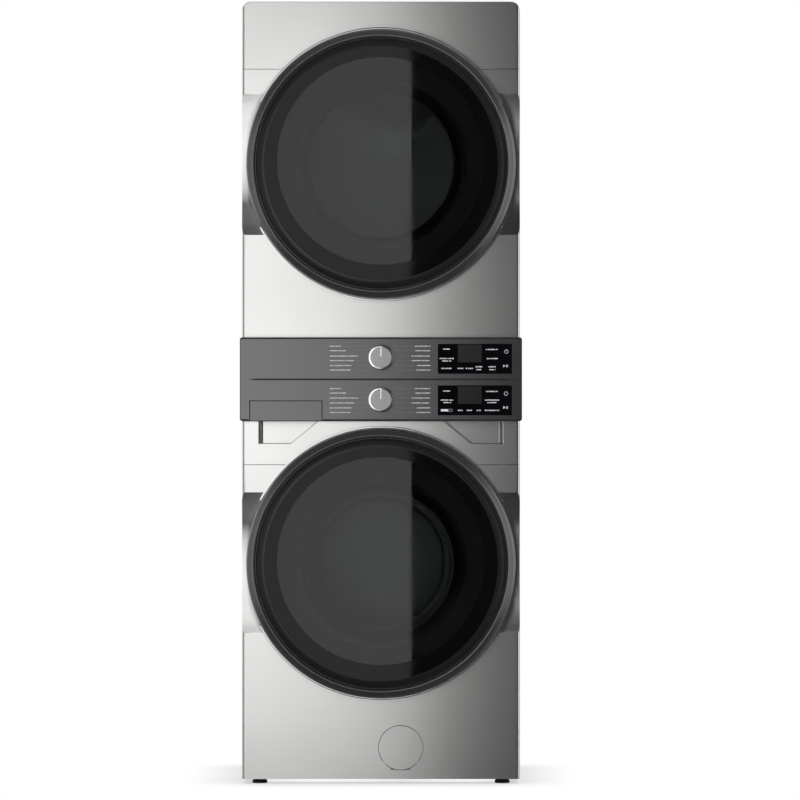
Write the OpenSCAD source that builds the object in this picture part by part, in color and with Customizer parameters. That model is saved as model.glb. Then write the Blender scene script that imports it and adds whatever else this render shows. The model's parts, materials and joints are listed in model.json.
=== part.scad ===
// Stacked front-loading washer (below) and tumble dryer (above) in one tower.
// Front faces -Y, +X is to the right, Z is up, and the floor is at Z = 0.

/* [Overall] */
// Overall height above the floor
total_h = 1905; // [1895:1:1920]
// Overall depth, door glass to exhaust collar
depth = 800; // [790:1:840]
// Width of the steel cabinet
body_w = 677; // [674:1:680]
// Width of the control console
console_w = 686; // [684:1:700]
// Clear height under the cabinet
foot_h = 12.4; // [11:0.1:15]

/* [Levels] */
// Seam between the washer front and its upper fascia
seam_washer = 777; // [774:1:782]
// Bottom edge of the console
console_z0 = 884; // [882:1:886]
// Top edge of the console
console_z1 = 1087.6; // [1086:0.1:1092]
// Seam between the dryer front and its top strip
seam_dryer = 1740; // [1736:1:1745]
// Height of the washer door centre
washer_z = 538.5; // [537:0.5:540]
// Height of the dryer door centre
dryer_z = 1509; // [1506:0.5:1511]

/* [Doors] */
// Outer radius of the door ring
ring_r = 327; // [325:0.5:328]
// Radius of the outer door glass
glass_r = 304; // [300:0.5:305]
// Radius of the loading port in each front panel
port_r = 232; // [230:0.5:234]
// Radius of the moulded glass bowl at its mouth
bowl_r = 186; // [180:0.5:188]

/* [Drums] */
// Outer radius of the washer basket
basket_r = 262; // [250:1:264]
// Outer radius of the washer tub
tub_r = 292; // [288:1:294]
// Outer radius of the dryer drum
drum_r = 300; // [290:1:302]

/* [Controls] */
// Radius of the programme knobs
knob_r = 30; // [24:0.5:34]
// Height of the dryer knob centre
knob_dryer_z = 1038.5; // [1036:0.5:1041]
// Height of the washer knob centre
knob_washer_z = 936; // [932:0.5:940]

/* [Services] */
// Radius of the exhaust collar, a four inch duct
exhaust_r = 50.8; // [50:0.1:52]
// Radius of the hose thread on the water inlets, three quarter inch
inlet_r = 13.45; // [12.8:0.05:13.6]
// Radius of the drain hose spigot
drain_r = 14.5; // [13:0.5:16]

/* [Hidden] */
$fn = 96;

half_w = body_w / 2;
// Distances ahead of the middle plane of the tower, measured towards the front
door_f = depth / 2;
door_b = door_f - 56;
panel_f = door_f - 60;
console_f = door_f - 36;
flange_d = 40;
skin_b = panel_f - flange_d;
// Positions behind the middle plane
back_y = depth / 2 - 24;
sheet = 2.5;
edge_r = 8;
top_r = 22;
// The cap is deeper than its two corner circles, so they stay within it
cap_h = 2 * top_r + 2;
gap = 0.5;
// Where the two cabinets meet, and the heights of the dryer bulkheads
washer_body_z1 = 982;
dryer_body_z0 = 985;
bulkhead_z0 = 1010;
bulkhead_z1 = total_h - 50;

// Door hinge axis, the same for both doors
hinge_x = -304;
hinge_f = door_b + 20;
hinge_pin_r = 4;
hinge_z = [-80, 80];
running = 0.05;

// Finger coves beside each door
cove_x = 284;
cove_d = 28;
cove_h = 172;
cove_r = (cove_h * cove_h + cove_d * cove_d) / (2 * cove_d);

// Detergent drawer
drawer_x0 = -320;
drawer_x1 = -142;
drawer_z1 = console_z0 + 50;
drawer_back = 60;

// Washer drive
tub_front = 268;
tub_rear = 205;
washer_pulley_r = 140;
motor_pulley_r = 22;
washer_motor_z = washer_z - 356;
belt_y = 318;
belt_w = 14;

// Dryer drive
drum_front = 284;
drum_rear = 262;
roller_r = 35;
roller_a = 30;
roller_reach = drum_r + roller_r + 0.4;
blower_x = 70;
blower_z = 1098;
duct_x = 225;
duct_z = 1062;
rotor_pulley_r = 15;
dryer_belt_y = 60;

// Hose connections through the back wall
inlet_x = [-260, -200];
drain_x = -120;
hose_z = 905;

// Service openings in the back wall, as half width, bottom and top
rear_opening_washer = [250, 120, 800];
rear_opening_dryer = [270, 1200, 1830];

// Pump filter behind the round access cover
filter_x = 48;
filter_z = 88.5;
cover_r = 54;

// Levelling feet
foot_x = 296;
foot_front_y = -290;
foot_rear_y = 320;
foot_r = 18.5;

// A block given by its two extreme corners
module slab(x0, x1, y0, y1, z0, z1) {
    translate([x0, y0, z0]) cube([x1 - x0, y1 - y0, z1 - z0]);
}

// Turns a shape so that its own Z axis points to the front at height z
module facing_front(x, z) {
    translate([x, 0, z]) rotate([90, 0, 0]) children();
}

// A cylinder along Y between two distances ahead of the middle plane
module bar_y(x, z, r, d0, d1) {
    facing_front(x, z) translate([0, 0, d0]) cylinder(r = r, h = d1 - d0);
}

// A ring along Y
module tube_y(x, z, r_out, r_in, d0, d1) {
    facing_front(x, z) translate([0, 0, d0]) difference() {
        cylinder(r = r_out, h = d1 - d0);
        translate([0, 0, -1]) cylinder(r = r_in, h = d1 - d0 + 2);
    }
}

// A profile of [radius, distance ahead] points turned about a door axis
module revolve_y(z, points) {
    facing_front(0, z) rotate_extrude() polygon(points);
}

// Rectangle with four round corners, lower left corner at the origin
module round_rect(w, h, r) {
    translate([r, 0]) square([w - 2 * r, h]);
    translate([0, r]) square([w, h - 2 * r]);
    for (x = [r, w - r], y = [r, h - r]) translate([x, y]) circle(r = r);
}

// Cabinet block with its upright front edges rounded; inset shrinks it on the sides and front
module front_block(inset, z0, z1) {
    r = edge_r - inset;
    w = half_w - inset;
    translate([0, 0, z0]) linear_extrude(z1 - z0) {
        translate([-w, -panel_f + inset + r]) square([2 * w, flange_d - inset - r]);
        translate([-w + r, -panel_f + inset]) square([2 * w - 2 * r, flange_d - inset]);
        for (s = [-1, 1]) translate([s * (w - r), -panel_f + inset + r]) circle(r = r);
    }
}

// Concave finger coves on both sides of a door; grow thickens them into the inner skin
module coves(z, grow) {
    for (s = [-1, 1]) translate([s * (cove_x - grow), 0, z])
        translate([0, -panel_f - cove_r + cove_d, 0]) rotate([0, s * 90, 0])
            cylinder(r = cove_r + grow, h = half_w - cove_x + grow + 10);
}

// Formed rim that follows the door, kept between two heights and clear of the coves
module door_rim(z, z0, z1) {
    intersection() {
        revolve_y(z, [[ring_r + 1, panel_f - 1], [ring_r + 6, panel_f - 1],
            [ring_r + 5.5, panel_f + 2], [ring_r + 4, panel_f + 3], [ring_r + 2, panel_f + 2]]);
        slab(-295, 295, -panel_f - 5, -panel_f + 5, z0, z1);
    }
}

// Steel front skin with side flanges, coves and a round port
module front_skin(z, z0, z1) {
    difference() {
        front_block(0, z0, z1);
        coves(z, 0);
        difference() {
            front_block(sheet, z0 - 1, z1 + 1);
            coves(z, sheet);
        }
        slab(-half_w, half_w, -skin_b - 0.01, -skin_b + 5, z0 - 1, z1 + 1);
        bar_y(0, z, port_r, skin_b, panel_f + 10);
        // Mouth for the latch hook
        slab(258, 272, -panel_f - 1, -panel_f + sheet + 1, z - 14, z + 14);
    }
    door_rim(z, z0, z1);
}

// ---------------------------------------------------------------- cabinet

module base_frame() {
    rail = 40;
    rail_wall = 3;
    color("dimgray") difference() {
        slab(-half_w + 4, half_w - 4, -skin_b + 1, back_y - 4, foot_h, foot_h + 34);
        slab(-half_w + 4 + rail, half_w - 4 - rail, -skin_b + 1 + rail, back_y - 4 - rail,
            foot_h - 1, foot_h + 40);
        // Hollow underside of the side rails between the foot sockets
        for (s = [-1, 1]) mirror([s < 0 ? 1 : 0, 0, 0])
            slab(half_w - 4 - rail + rail_wall, half_w - 4 - rail_wall,
                foot_front_y + 25, foot_rear_y - 25, foot_h - 1, foot_h + 34 - rail_wall);
        for (x = [-foot_x, foot_x], y = [foot_front_y, foot_rear_y])
            translate([x, y, foot_h - 1]) cylinder(r = 6.06, h = 40);
    }
}

// Upright sides joined by the back wall, with a service opening in the back
module wrap(z0, z1, opening) {
    difference() {
        slab(-half_w, half_w, -skin_b, back_y, z0, z1);
        slab(-half_w + sheet, half_w - sheet, -skin_b - 1, back_y - sheet, z0 - 1, z1 + 1);
        slab(-opening[0], opening[0], back_y - 10, back_y + 10, opening[1], opening[2]);
    }
}

module washer_cabinet() {
    color("silver") difference() {
        wrap(foot_h, washer_body_z1, rear_opening_washer);
        for (x = inlet_x) bar_y(x, hose_z, inlet_r + 2, -back_y - 5, -back_y + 10);
        bar_y(drain_x, hose_z, drain_r + 3, -back_y - 5, -back_y + 10);
    }
}

module dryer_cabinet() {
    color("silver") difference() {
        wrap(dryer_body_z0, total_h - cap_h, rear_opening_dryer);
        bar_y(duct_x, duct_z, exhaust_r + 3, -back_y - 5, -back_y + 10);
        slab(-252, -158, back_y - 10, back_y + 10, 1033, 1107);
    }
}

// Pressed service cover that laps over the opening from outside
module rear_cover(opening) {
    x = opening[0];
    z0 = opening[1];
    z1 = opening[2];
    lap = 15;
    proud = 8;
    difference() {
        slab(-x - lap, x + lap, back_y, back_y + proud, z0 - lap, z1 + lap);
        slab(-x - lap + 3, x + lap - 3, back_y - 1, back_y + proud - sheet,
            z0 - lap + 3, z1 + lap - 3);
    }
    difference() {
        slab(-x - lap, x + lap, back_y, back_y + 2, z0 - lap, z1 + lap);
        slab(-x, x, back_y - 1, back_y + 3, z0, z1);
    }
}

module washer_rear_panel() {
    color("lightgray") rear_cover(rear_opening_washer);
}

module dryer_rear_panel() {
    slot_w = 60;
    slot_h = 6;
    color("lightgray") difference() {
        rear_cover(rear_opening_dryer);
        for (i = [0:5], s = [-1, 1])
            slab(s * 120 - slot_w / 2, s * 120 + slot_w / 2, back_y - 1, back_y + 10,
                1240 + i * 16, 1240 + slot_h + i * 16);
    }
}

// Outline of the tower top seen from the front, extruded along Y
module top_outline(inset, z0, y0, y1) {
    w = body_w - 2 * inset;
    r = top_r - inset;
    h = total_h - inset - z0;
    translate([0, y1, 0]) rotate([90, 0, 0]) linear_extrude(y1 - y0) {
        translate([-w / 2, z0]) square([w, h - r]);
        translate([-w / 2 + r, z0]) square([w - 2 * r, h]);
        for (s = [-1, 1]) translate([s * (w / 2 - r), z0 + h - r]) circle(r = r);
    }
}

module top_panel() {
    color("silver") difference() {
        top_outline(0, total_h - cap_h, -skin_b + gap, back_y);
        top_outline(sheet, total_h - cap_h - 1, -skin_b + gap + sheet, back_y - sheet);
    }
}

module washer_front_panel() {
    color("silver") difference() {
        front_skin(washer_z, foot_h, seam_washer);
        bar_y(filter_x, filter_z, cover_r + 1, skin_b, panel_f + 10);
        // Relief that lets the cover's hinge edge turn
        slab(filter_x - 24, filter_x + 24, -panel_f - 1, -panel_f + sheet + 1,
            filter_z - cover_r + 0.8, filter_z - 45);
    }
}

module washer_fascia() {
    recess_d = 26;
    color("silver") {
        difference() {
            front_block(0, seam_washer + gap, console_z0);
            for (s = [-1, 1]) mirror([s < 0 ? 1 : 0, 0, 0])
                facing_front(0, 0) translate([0, 0, panel_f - recess_d]) linear_extrude(60)
                    recess_outline(0);
            difference() {
                front_block(sheet, seam_washer, console_z0 + 1);
                for (s = [-1, 1]) mirror([s < 0 ? 1 : 0, 0, 0])
                    facing_front(0, 0) translate([0, 0, panel_f - recess_d - sheet])
                        linear_extrude(80) recess_outline(sheet);
            }
            slab(-half_w, half_w, -skin_b - 0.01, -skin_b + 5, seam_washer, console_z0 + 1);
        }
        door_rim(washer_z, seam_washer + gap, console_z0);
    }
}

// Half outline of the finger recess: upright outer wall, flat floor, slanted inner end
module recess_outline(grow) {
    polygon([[146 - 2 * grow, console_z0 + 5], [220 - grow / 2, 829 - grow],
        [298 + grow, 829 - grow], [298 + grow, console_z0 + 5]]);
}

module dryer_front_panel() {
    color("silver") front_skin(dryer_z, console_z1, seam_dryer);
}

module dryer_front_header() {
    color("silver") {
        difference() {
            intersection() {
                front_block(0, seam_dryer + gap, total_h);
                top_outline(0, seam_dryer, -panel_f - 5, -skin_b);
            }
            intersection() {
                front_block(sheet, seam_dryer, total_h);
                top_outline(sheet, seam_dryer - 1, -panel_f - 5, -skin_b + 1);
            }
            slab(-half_w, half_w, -skin_b - 0.01, -skin_b + 5, seam_dryer, total_h + 1);
        }
        door_rim(dryer_z, seam_dryer + gap, total_h);
    }
}

// ---------------------------------------------------------------- console

module console_panel() {
    wall = 3;
    h = console_z1 - console_z0;
    groove_z = console_z0 + 99.2;
    groove_w = 4.2;
    color("dimgray") difference() {
        translate([-console_w / 2, -skin_b, console_z0]) rotate([90, 0, 0])
            linear_extrude(console_f - skin_b) round_rect(console_w, h, 6);
        slab(-console_w / 2 + wall, console_w / 2 - wall, -console_f + wall, -skin_b + 1,
            console_z0 + wall, console_z1 - wall);
        // Dividing groove between the two control rows
        slab(-323, 331, -console_f - 1, -console_f + 1.5, groove_z, groove_z + groove_w);
        // Shaft holes behind the knobs
        for (z = [knob_dryer_z, knob_washer_z]) bar_y(0, z, 7, console_f - 10, console_f + 5);
        // Seats of the two display windows
        for (z = [knob_dryer_z - 3.2, knob_washer_z - 1.6])
            slab(138, 319, -console_f - 1, -console_f + 2, z - 36.5, z + 36.5);
        // Mouth of the detergent drawer, open at the lower edge for the fingers
        slab(drawer_x0, drawer_x1, -console_f - 1, -skin_b, console_z0 - 1, drawer_z1);
    }
}

module display_windows() {
    color([0.03, 0.03, 0.035]) for (z = [knob_dryer_z - 3.2, knob_washer_z - 1.6])
        slab(138.4, 318.6, -console_f - 0.4, -console_f + 2, z - 36.1, z + 36.1);
}

module control_boards() {
    color("darkgreen") for (z = [knob_dryer_z, knob_washer_z]) difference() {
        slab(-130, 325, -console_f + 14, -console_f + 16, z - 34, z + 34);
        bar_y(0, z, 12, console_f - 20, console_f);
    }
}

module knob(z) {
    color("silver") difference() {
        facing_front(0, z) rotate_extrude() polygon([
            [0, console_f + 1], [knob_r, console_f + 1], [knob_r, console_f + 17],
            [knob_r - 1, console_f + 20], [knob_r - 3, console_f + 21.5],
            [knob_r - 4, console_f + 21], [0, console_f + 21]]);
        slab(-1, 1, -console_f - 22, -console_f - 20.4, z + 4, z + knob_r - 5);
    }
    bar_y(0, z, 4, console_f - 12, console_f + 1);
}

module washer_knob() knob(knob_washer_z);
module dryer_knob() knob(knob_dryer_z);

module detergent_drawer() {
    wall = 2;
    x0 = drawer_x0 + 1.5;
    x1 = drawer_x1 - 1.5;
    y1 = -drawer_back;
    color("dimgray") slab(x0, x1, -console_f, -console_f + 10, console_z0 + 0.5, drawer_z1 - 1);
    color("lightgray") difference() {
        slab(x0 + 4, x1 - 4, -console_f + 10, y1, console_z0 + 6, drawer_z1 - 4);
        // Main wash, softener and bleach compartments
        slab(x0 + 4 + wall, x0 + 100, -console_f + 10 + wall, y1 - wall,
            console_z0 + 6 + wall, drawer_z1);
        slab(x0 + 100 + wall, x1 - 4 - wall, -console_f + 10 + wall, -220,
            console_z0 + 6 + wall, drawer_z1);
        slab(x0 + 100 + wall, x1 - 4 - wall, -220 + wall, y1 - wall,
            console_z0 + 6 + wall, drawer_z1);
    }
}

module dispenser_housing() {
    wall = 2.5;
    x0 = drawer_x0 + 2.5;
    x1 = drawer_x1 - 2.5;
    color("whitesmoke") {
        difference() {
            slab(x0 - wall, x1 + wall, -skin_b + 2, -drawer_back + 8,
                console_z0 + 2, drawer_z1 + 6);
            slab(x0, x1, -skin_b, -drawer_back + 4, console_z0 + 2 + wall, drawer_z1 + 6 - wall);
        }
        // Outlet neck down to the tub
        translate([-231, -140, console_z0 - 38]) difference() {
            cylinder(r = 22, h = 40);
            translate([0, 0, -1]) cylinder(r = 19, h = 42);
        }
    }
}

// ---------------------------------------------------------------- doors

// Cut-outs through which the two fixed hinge arms reach the pins
module hinge_notches(z, half_h) {
    for (dz = hinge_z) slab(-ring_r - 5, hinge_x + 38, -hinge_f - 8, -door_b + 1,
        z + dz - half_h, z + dz + half_h);
}

module door_ring(z) {
    color("dimgray") difference() {
        revolve_y(z, [
            [glass_r - 14, door_b + 34], [glass_r + 4, door_b + 34], [glass_r + 4, door_b],
            [ring_r - 3, door_b], [ring_r, door_b + 3], [ring_r, door_f - 18],
            [ring_r - 2, door_f - 10], [ring_r - 6, door_f - 5], [ring_r - 11, door_f - 2.5],
            [glass_r + 5, door_f - 2], [glass_r + 0.6, door_f - 9], [glass_r + 0.6, door_f - 14],
            [glass_r - 14, door_f - 14]]);
        hinge_notches(z, 23);
    }
}

module outer_glass(z) {
    color([0.06, 0.06, 0.065, 0.9]) revolve_y(z, [
        [0, door_f - 6], [glass_r - 24, door_f - 6], [glass_r - 10, door_f - 13.9],
        [glass_r, door_f - 13.9], [glass_r, door_f - 9], [glass_r - 3, door_f - 5.4],
        [glass_r - 7, door_f - 3], [glass_r - 13, door_f - 0.9], [glass_r - 20, door_f],
        [0, door_f]]);
}

// Inner moulding that carries the inner glass, the hinge lugs and the latch hook
module door_frame(z, mouth_r) {
    lug_gap = 10.5;
    color("gray") {
        difference() {
            revolve_y(z, [
                [mouth_r, door_b - 6], [mouth_r + 26, door_b - 6], [mouth_r + 26, door_b],
                [glass_r + 3.5, door_b], [glass_r + 3.5, door_b + 33],
                [glass_r - 1, door_b + 33], [glass_r - 6, door_b + 5],
                [mouth_r + 30, door_b + 5], [mouth_r + 12, door_b + 5],
                [mouth_r + 12, door_b + 12], [mouth_r, door_b + 12]]);
            hinge_notches(z, 23);
        }
        // Hinge lugs with their pins
        for (dz = hinge_z) {
            translate([hinge_x, -hinge_f, z + dz - 22.5])
                cylinder(r = hinge_pin_r, h = 45);
            for (s = [-1, 1]) slab(hinge_x - 6, hinge_x + 46, -hinge_f - 6, -door_b - 0.5,
                z + dz + (s > 0 ? lug_gap : -22.9), z + dz + (s > 0 ? 22.9 : -lug_gap));
        }
    }
    // Latch hook on the opening side
    color("silver") slab(262, 268, -door_b, -door_b + 26, z - 9, z + 9);
}

module washer_door_ring() door_ring(washer_z);
module dryer_door_ring() door_ring(dryer_z);
module washer_door_glass() outer_glass(washer_z);
module dryer_door_glass() outer_glass(dryer_z);
module washer_door_frame() door_frame(washer_z, bowl_r - 4);
module dryer_door_frame() door_frame(dryer_z, bowl_r - 4);

module washer_door_bowl() {
    r = bowl_r;
    color([0.75, 0.8, 0.82, 0.35]) revolve_y(washer_z, [
        [r - 4.5, door_b + 12], [r + 20, door_b + 12], [r + 20, door_b + 17], [r - 9, door_b + 17],
        [r - 16, door_b - 40], [r - 28, door_b - 88], [r - 50, door_b - 101], [0, door_b - 106],
        [0, door_b - 111], [r - 47, door_b - 106], [r - 23, door_b - 92],
        [r - 11, door_b - 41]]);
}

module dryer_door_window() {
    r = bowl_r;
    color([0.75, 0.8, 0.82, 0.35]) revolve_y(dryer_z, [
        [r - 4.5, door_b + 12], [r + 20, door_b + 12], [r + 20, door_b + 17], [r - 9, door_b + 17],
        [r - 12, door_b - 4], [r - 20, door_b - 8], [0, door_b - 8],
        [0, door_b - 12], [r - 18, door_b - 12], [r - 8, door_b - 8]]);
}

// Fixed arms that reach from the front panels to the hinge pins
module door_hinge_brackets() {
    color("silver") for (z = [washer_z, dryer_z], dz = hinge_z)
        translate([0, 0, z + dz - 10]) difference() {
            union() {
                translate([hinge_x, -hinge_f, 0]) cylinder(r = 8, h = 20);
                translate([hinge_x, -hinge_f, 0]) rotate([0, 0, 35])
                    translate([3, -4, 0]) cube([31, 8, 20]);
                translate([-278, -panel_f - 3.4, 0]) cube([44, 3.4, 20]);
            }
            translate([hinge_x, -hinge_f, -1]) cylinder(r = hinge_pin_r + running, h = 22);
            translate([-290, -panel_f, -1]) cube([60, 30, 22]);
        }
}

// Lock of the washer door and strike of the dryer door, behind the front panels
module door_latches() {
    color("black") for (z = [washer_z, dryer_z]) difference() {
        slab(246, 280, -panel_f + sheet, -panel_f + 34, z - 40, z + 40);
        slab(258, 272, -panel_f - 1, -panel_f + 30, z - 14, z + 14);
    }
}

// ---------------------------------------------------------------- washer inside

module outer_tub() {
    color("gainsboro") {
        revolve_y(washer_z, [
            [205, tub_front], [tub_r - 6, tub_front], [tub_r, tub_front - 6],
            [tub_r, -tub_rear + 20], [120, -tub_rear - 22], [70, -tub_rear - 22],
            [70, -tub_rear - 70], [36, -tub_rear - 70], [36, -tub_rear - 12],
            [110, -tub_rear - 12], [tub_r - 5, -tub_rear + 24], [tub_r - 5, tub_front - 8],
            [tub_r - 8, tub_front - 5], [205, tub_front - 5]]);
        // Joint flange between the front and rear halves
        tube_y(0, washer_z, tub_r + 8, tub_r - 1, 40, 56);
    }
}

module door_gasket() {
    color("dimgray") revolve_y(washer_z, [
        [196, panel_f - 5], [212, panel_f - 5], [226, panel_f - 12], [242, panel_f - 12],
        [242, panel_f - sheet], [246, panel_f - sheet], [246, panel_f - 16],
        [226, panel_f - 16], [222, panel_f - 40], [232, tub_front + 14], [232, tub_front],
        [222, tub_front], [222, tub_front + 12], [206, panel_f - 44], [206, panel_f - 14],
        [196, panel_f - 9]]);
}

module counterweight() {
    color("gray") intersection() {
        tube_y(0, washer_z, tub_r - 4, 236, tub_front, tub_front + 30);
        union() {
            slab(-tub_r, tub_r, -tub_front - 30, -tub_front, washer_z + 120, washer_z + tub_r);
            slab(-tub_r, tub_r, -tub_front - 30, -tub_front, washer_z - tub_r, washer_z - 120);
        }
    }
}

// One close-wound hanger spring as stacked rings on a core
module hanger_spring(x, y, z0, z1) {
    pitch = 7;
    translate([x, y, z0]) cylinder(r = 3, h = z1 - z0);
    for (z = [z0 + 20 : pitch : z1 - 20]) translate([x, y, z])
        rotate_extrude($fn = 32) translate([8, 0]) circle(r = 3, $fn = 16);
    translate([x, y, z0 + 14]) cylinder(r = 10, h = 5);
    translate([x, y, z1 - 20]) cylinder(r = 10, h = 5);
}

module tub_suspension() {
    spring_x = 308;
    color("silver") for (s = [-1, 1], y = [-30, 90]) {
        hanger_spring(s * spring_x, y, washer_z + 120, 930);
        slab(s > 0 ? spring_x - 26 : -spring_x, s > 0 ? spring_x : 26 - spring_x,
            y - 6, y + 6, washer_z + 118, washer_z + 126);
        slab(s > 0 ? spring_x - 4 : -half_w + sheet, s > 0 ? half_w - sheet : 4 - spring_x,
            y - 12, y + 12, 928, 932);
    }
    color("dimgray") for (s = [-1, 1], y = [-110, 90]) {
        top = [s * 200, y, washer_z - 225];
        foot = [s * 262, y, 62];
        lean = atan2(abs(foot[0] - top[0]), top[2] - foot[2]);
        length = norm(top - foot);
        translate(foot) rotate([0, -s * lean, 0]) {
            cylinder(r = 15, h = length * 0.6);
            cylinder(r = 6, h = length);
            translate([-9, -9, -14]) cube([18, 18, 16]);
        }
    }
}

module tub_bearings() {
    color("silver") for (d = [-tub_rear - 30, -tub_rear - 66])
        tube_y(0, washer_z, 35.9, 15.05, d, d + 16);
}

module washer_drum() {
    front = tub_front - 16;
    rear = -tub_rear + 30;
    hole_r = 2.2;
    color("silver") {
        difference() {
            revolve_y(washer_z, [
                [205, front], [basket_r - 10, front], [basket_r, front - 12],
                [basket_r, rear + 8], [basket_r - 10, rear], [0, rear], [0, rear + 2],
                [basket_r - 12, rear + 2], [basket_r - 2, rear + 9], [basket_r - 2, front - 13],
                [basket_r - 11, front - 2], [205, front - 2]]);
            // Drain holes in rings round the basket
            for (a = [15:60:135], d = [-120:80:200])
                facing_front(0, washer_z) rotate([0, 0, a]) translate([0, 0, d])
                    rotate([0, 90, 0]) cylinder(r = hole_r, h = 2 * basket_r + 5, center = true);
        }
        drum_lifters(washer_z, 3, basket_r - 1.5, 44, rear + 14, front - 30);
    }
}

// Pressed lifter vanes, open at both ends, spaced round the inside of a drum
module drum_lifters(z, count, r, reach, d0, d1) {
    wall = 2;
    for (i = [0:count - 1]) facing_front(0, z) rotate([0, 0, 90 + i * 360 / count])
        translate([0, 0, d0]) linear_extrude(d1 - d0) difference() {
            polygon([[r - 4, -36], [r, -24], [r, 24], [r - 4, 36], [r - 24, 22],
                [r - reach, 9], [r - reach, -9], [r - 24, -22]]);
            polygon([[r - 8, -26], [r - 8, 26], [r - 24 - wall / 2, 22 - wall],
                [r - reach + wall, 9 - wall], [r - reach + wall, wall - 9],
                [r - 24 - wall / 2, wall - 22]]);
        }
}

module washer_drum_spider() {
    hub_d = -tub_rear + 30;
    color("darkgray") {
        for (i = [0:2]) facing_front(0, washer_z) rotate([0, 0, 30 + i * 120]) {
            translate([0, -18, hub_d - 10]) cube([basket_r - 14, 36, 10]);
            translate([0, -9, hub_d - 20]) cube([basket_r - 112, 18, 20]);
        }
        bar_y(0, washer_z, 46, hub_d - 26, hub_d);
        bar_y(0, washer_z, 15, -belt_y - 22, hub_d - 20);
    }
}

module washer_drum_pulley() {
    color("darkgray") {
        tube_y(0, washer_z, washer_pulley_r, washer_pulley_r - 10,
            -belt_y - belt_w / 2, -belt_y + belt_w / 2);
        tube_y(0, washer_z, 30, 15.0, -belt_y - 12, -belt_y + 12);
        for (i = [0:4]) facing_front(0, washer_z) rotate([0, 0, i * 72])
            translate([26, -9, -belt_y - 4]) cube([washer_pulley_r - 32, 18, 8]);
    }
}

module washer_motor() {
    color("dimgray") difference() {
        union() {
            bar_y(0, washer_motor_z, 62, -belt_y + 24, -140);
            bar_y(0, washer_motor_z, 52, -140, -120);
            // Mounting lugs up to the tub
            for (s = [-1, 1]) slab(s * 50 - 8, s * 50 + 8, 160, 260,
                washer_motor_z + 20, washer_motor_z + 60);
        }
        bar_y(0, washer_motor_z, 8.05, -belt_y - 10, -100);
        // Room for the winding inside the casing
        bar_y(0, washer_motor_z, 44, -belt_y + 40, -150);
    }
}

module washer_motor_pulley() {
    color("silver") {
        bar_y(0, washer_motor_z, motor_pulley_r, -belt_y - belt_w / 2, -belt_y + belt_w / 2);
        bar_y(0, washer_motor_z, 8, -belt_y, -130);
    }
}

// Belt loop round a large and a small pulley in a plane across Y
module belt_loop(z, r_big, x2, z2, r_small, y, w) {
    slack = 0.8;
    thick = 5;
    translate([0, y + w / 2, 0]) rotate([90, 0, 0]) linear_extrude(w) difference() {
        hull() {
            translate([0, z]) circle(r = r_big + slack + thick);
            translate([x2, z2]) circle(r = r_small + slack + thick);
        }
        hull() {
            translate([0, z]) circle(r = r_big + slack);
            translate([x2, z2]) circle(r = r_small + slack);
        }
    }
}

module drive_belts() {
    color([0.12, 0.12, 0.12]) {
        belt_loop(washer_z, washer_pulley_r, 0, washer_motor_z, motor_pulley_r,
            belt_y, belt_w - 2);
        belt_loop(dryer_z, drum_r, blower_x, blower_z, rotor_pulley_r, dryer_belt_y, 10);
    }
}

module drain_pump() {
    color("dimgray") {
        // Filter barrel just behind the access cover
        tube_y(filter_x, filter_z + 8, 40, 32.5, panel_f - 130, panel_f - 40);
        bar_y(filter_x, filter_z + 8, 40, panel_f - 136, panel_f - 129);
        bar_y(filter_x, filter_z + 8, 30, panel_f - 210, panel_f - 136);
    }
    // Sump hose up to the tub
    color([0.15, 0.15, 0.15]) translate([filter_x, -panel_f + 100, filter_z + 40])
        cylinder(r = 24, h = 90);
}

module pump_filter() {
    color("gainsboro") {
        bar_y(filter_x, filter_z + 8, 32, panel_f - 60, panel_f - 34);
        bar_y(filter_x, filter_z + 8, 20, panel_f - 118, panel_f - 59);
        // Grip across the cap
        slab(filter_x - 24, filter_x + 24, -panel_f + 20, -panel_f + 34,
            filter_z + 5, filter_z + 11);
    }
}

module pump_cover() {
    hinge_r = 1.5;
    color("silver") {
        bar_y(filter_x, filter_z, cover_r, panel_f - 3, panel_f);
        // Moulded hinge barrel inside the lower edge
        translate([filter_x - 10, -panel_f + hinge_r, filter_z - cover_r + 3]) rotate([0, 90, 0])
            cylinder(r = hinge_r, h = 20);
        // Snap tab at the top
        slab(filter_x - 8, filter_x + 8, -panel_f + 2.9, -panel_f + 9,
            filter_z + cover_r - 10, filter_z + cover_r - 6);
    }
}

module inlet_valves() {
    color("whitesmoke") for (x = inlet_x) {
        bar_y(x, hose_z, 18, -back_y + 6, -back_y + 50);
        bar_y(x, hose_z, inlet_r, -depth / 2, -back_y + 7);
    }
    // Drain hose spigot beside the inlets
    color([0.2, 0.2, 0.2]) {
        tube_y(drain_x, hose_z, drain_r, drain_r - 3, -depth / 2, -back_y + 7);
        tube_y(drain_x, hose_z, drain_r + 6, drain_r - 3, -back_y + 6, -back_y + 20);
    }
}

// ---------------------------------------------------------------- dryer inside

module centre_deck() {
    color("lightgray") difference() {
        slab(-half_w + 3, half_w - 3, -skin_b + 4, back_y - 4, 978, 992);
        slab(-half_w + 5, half_w - 5, -skin_b + 6, back_y - 6, 977, 990);
    }
}

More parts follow.
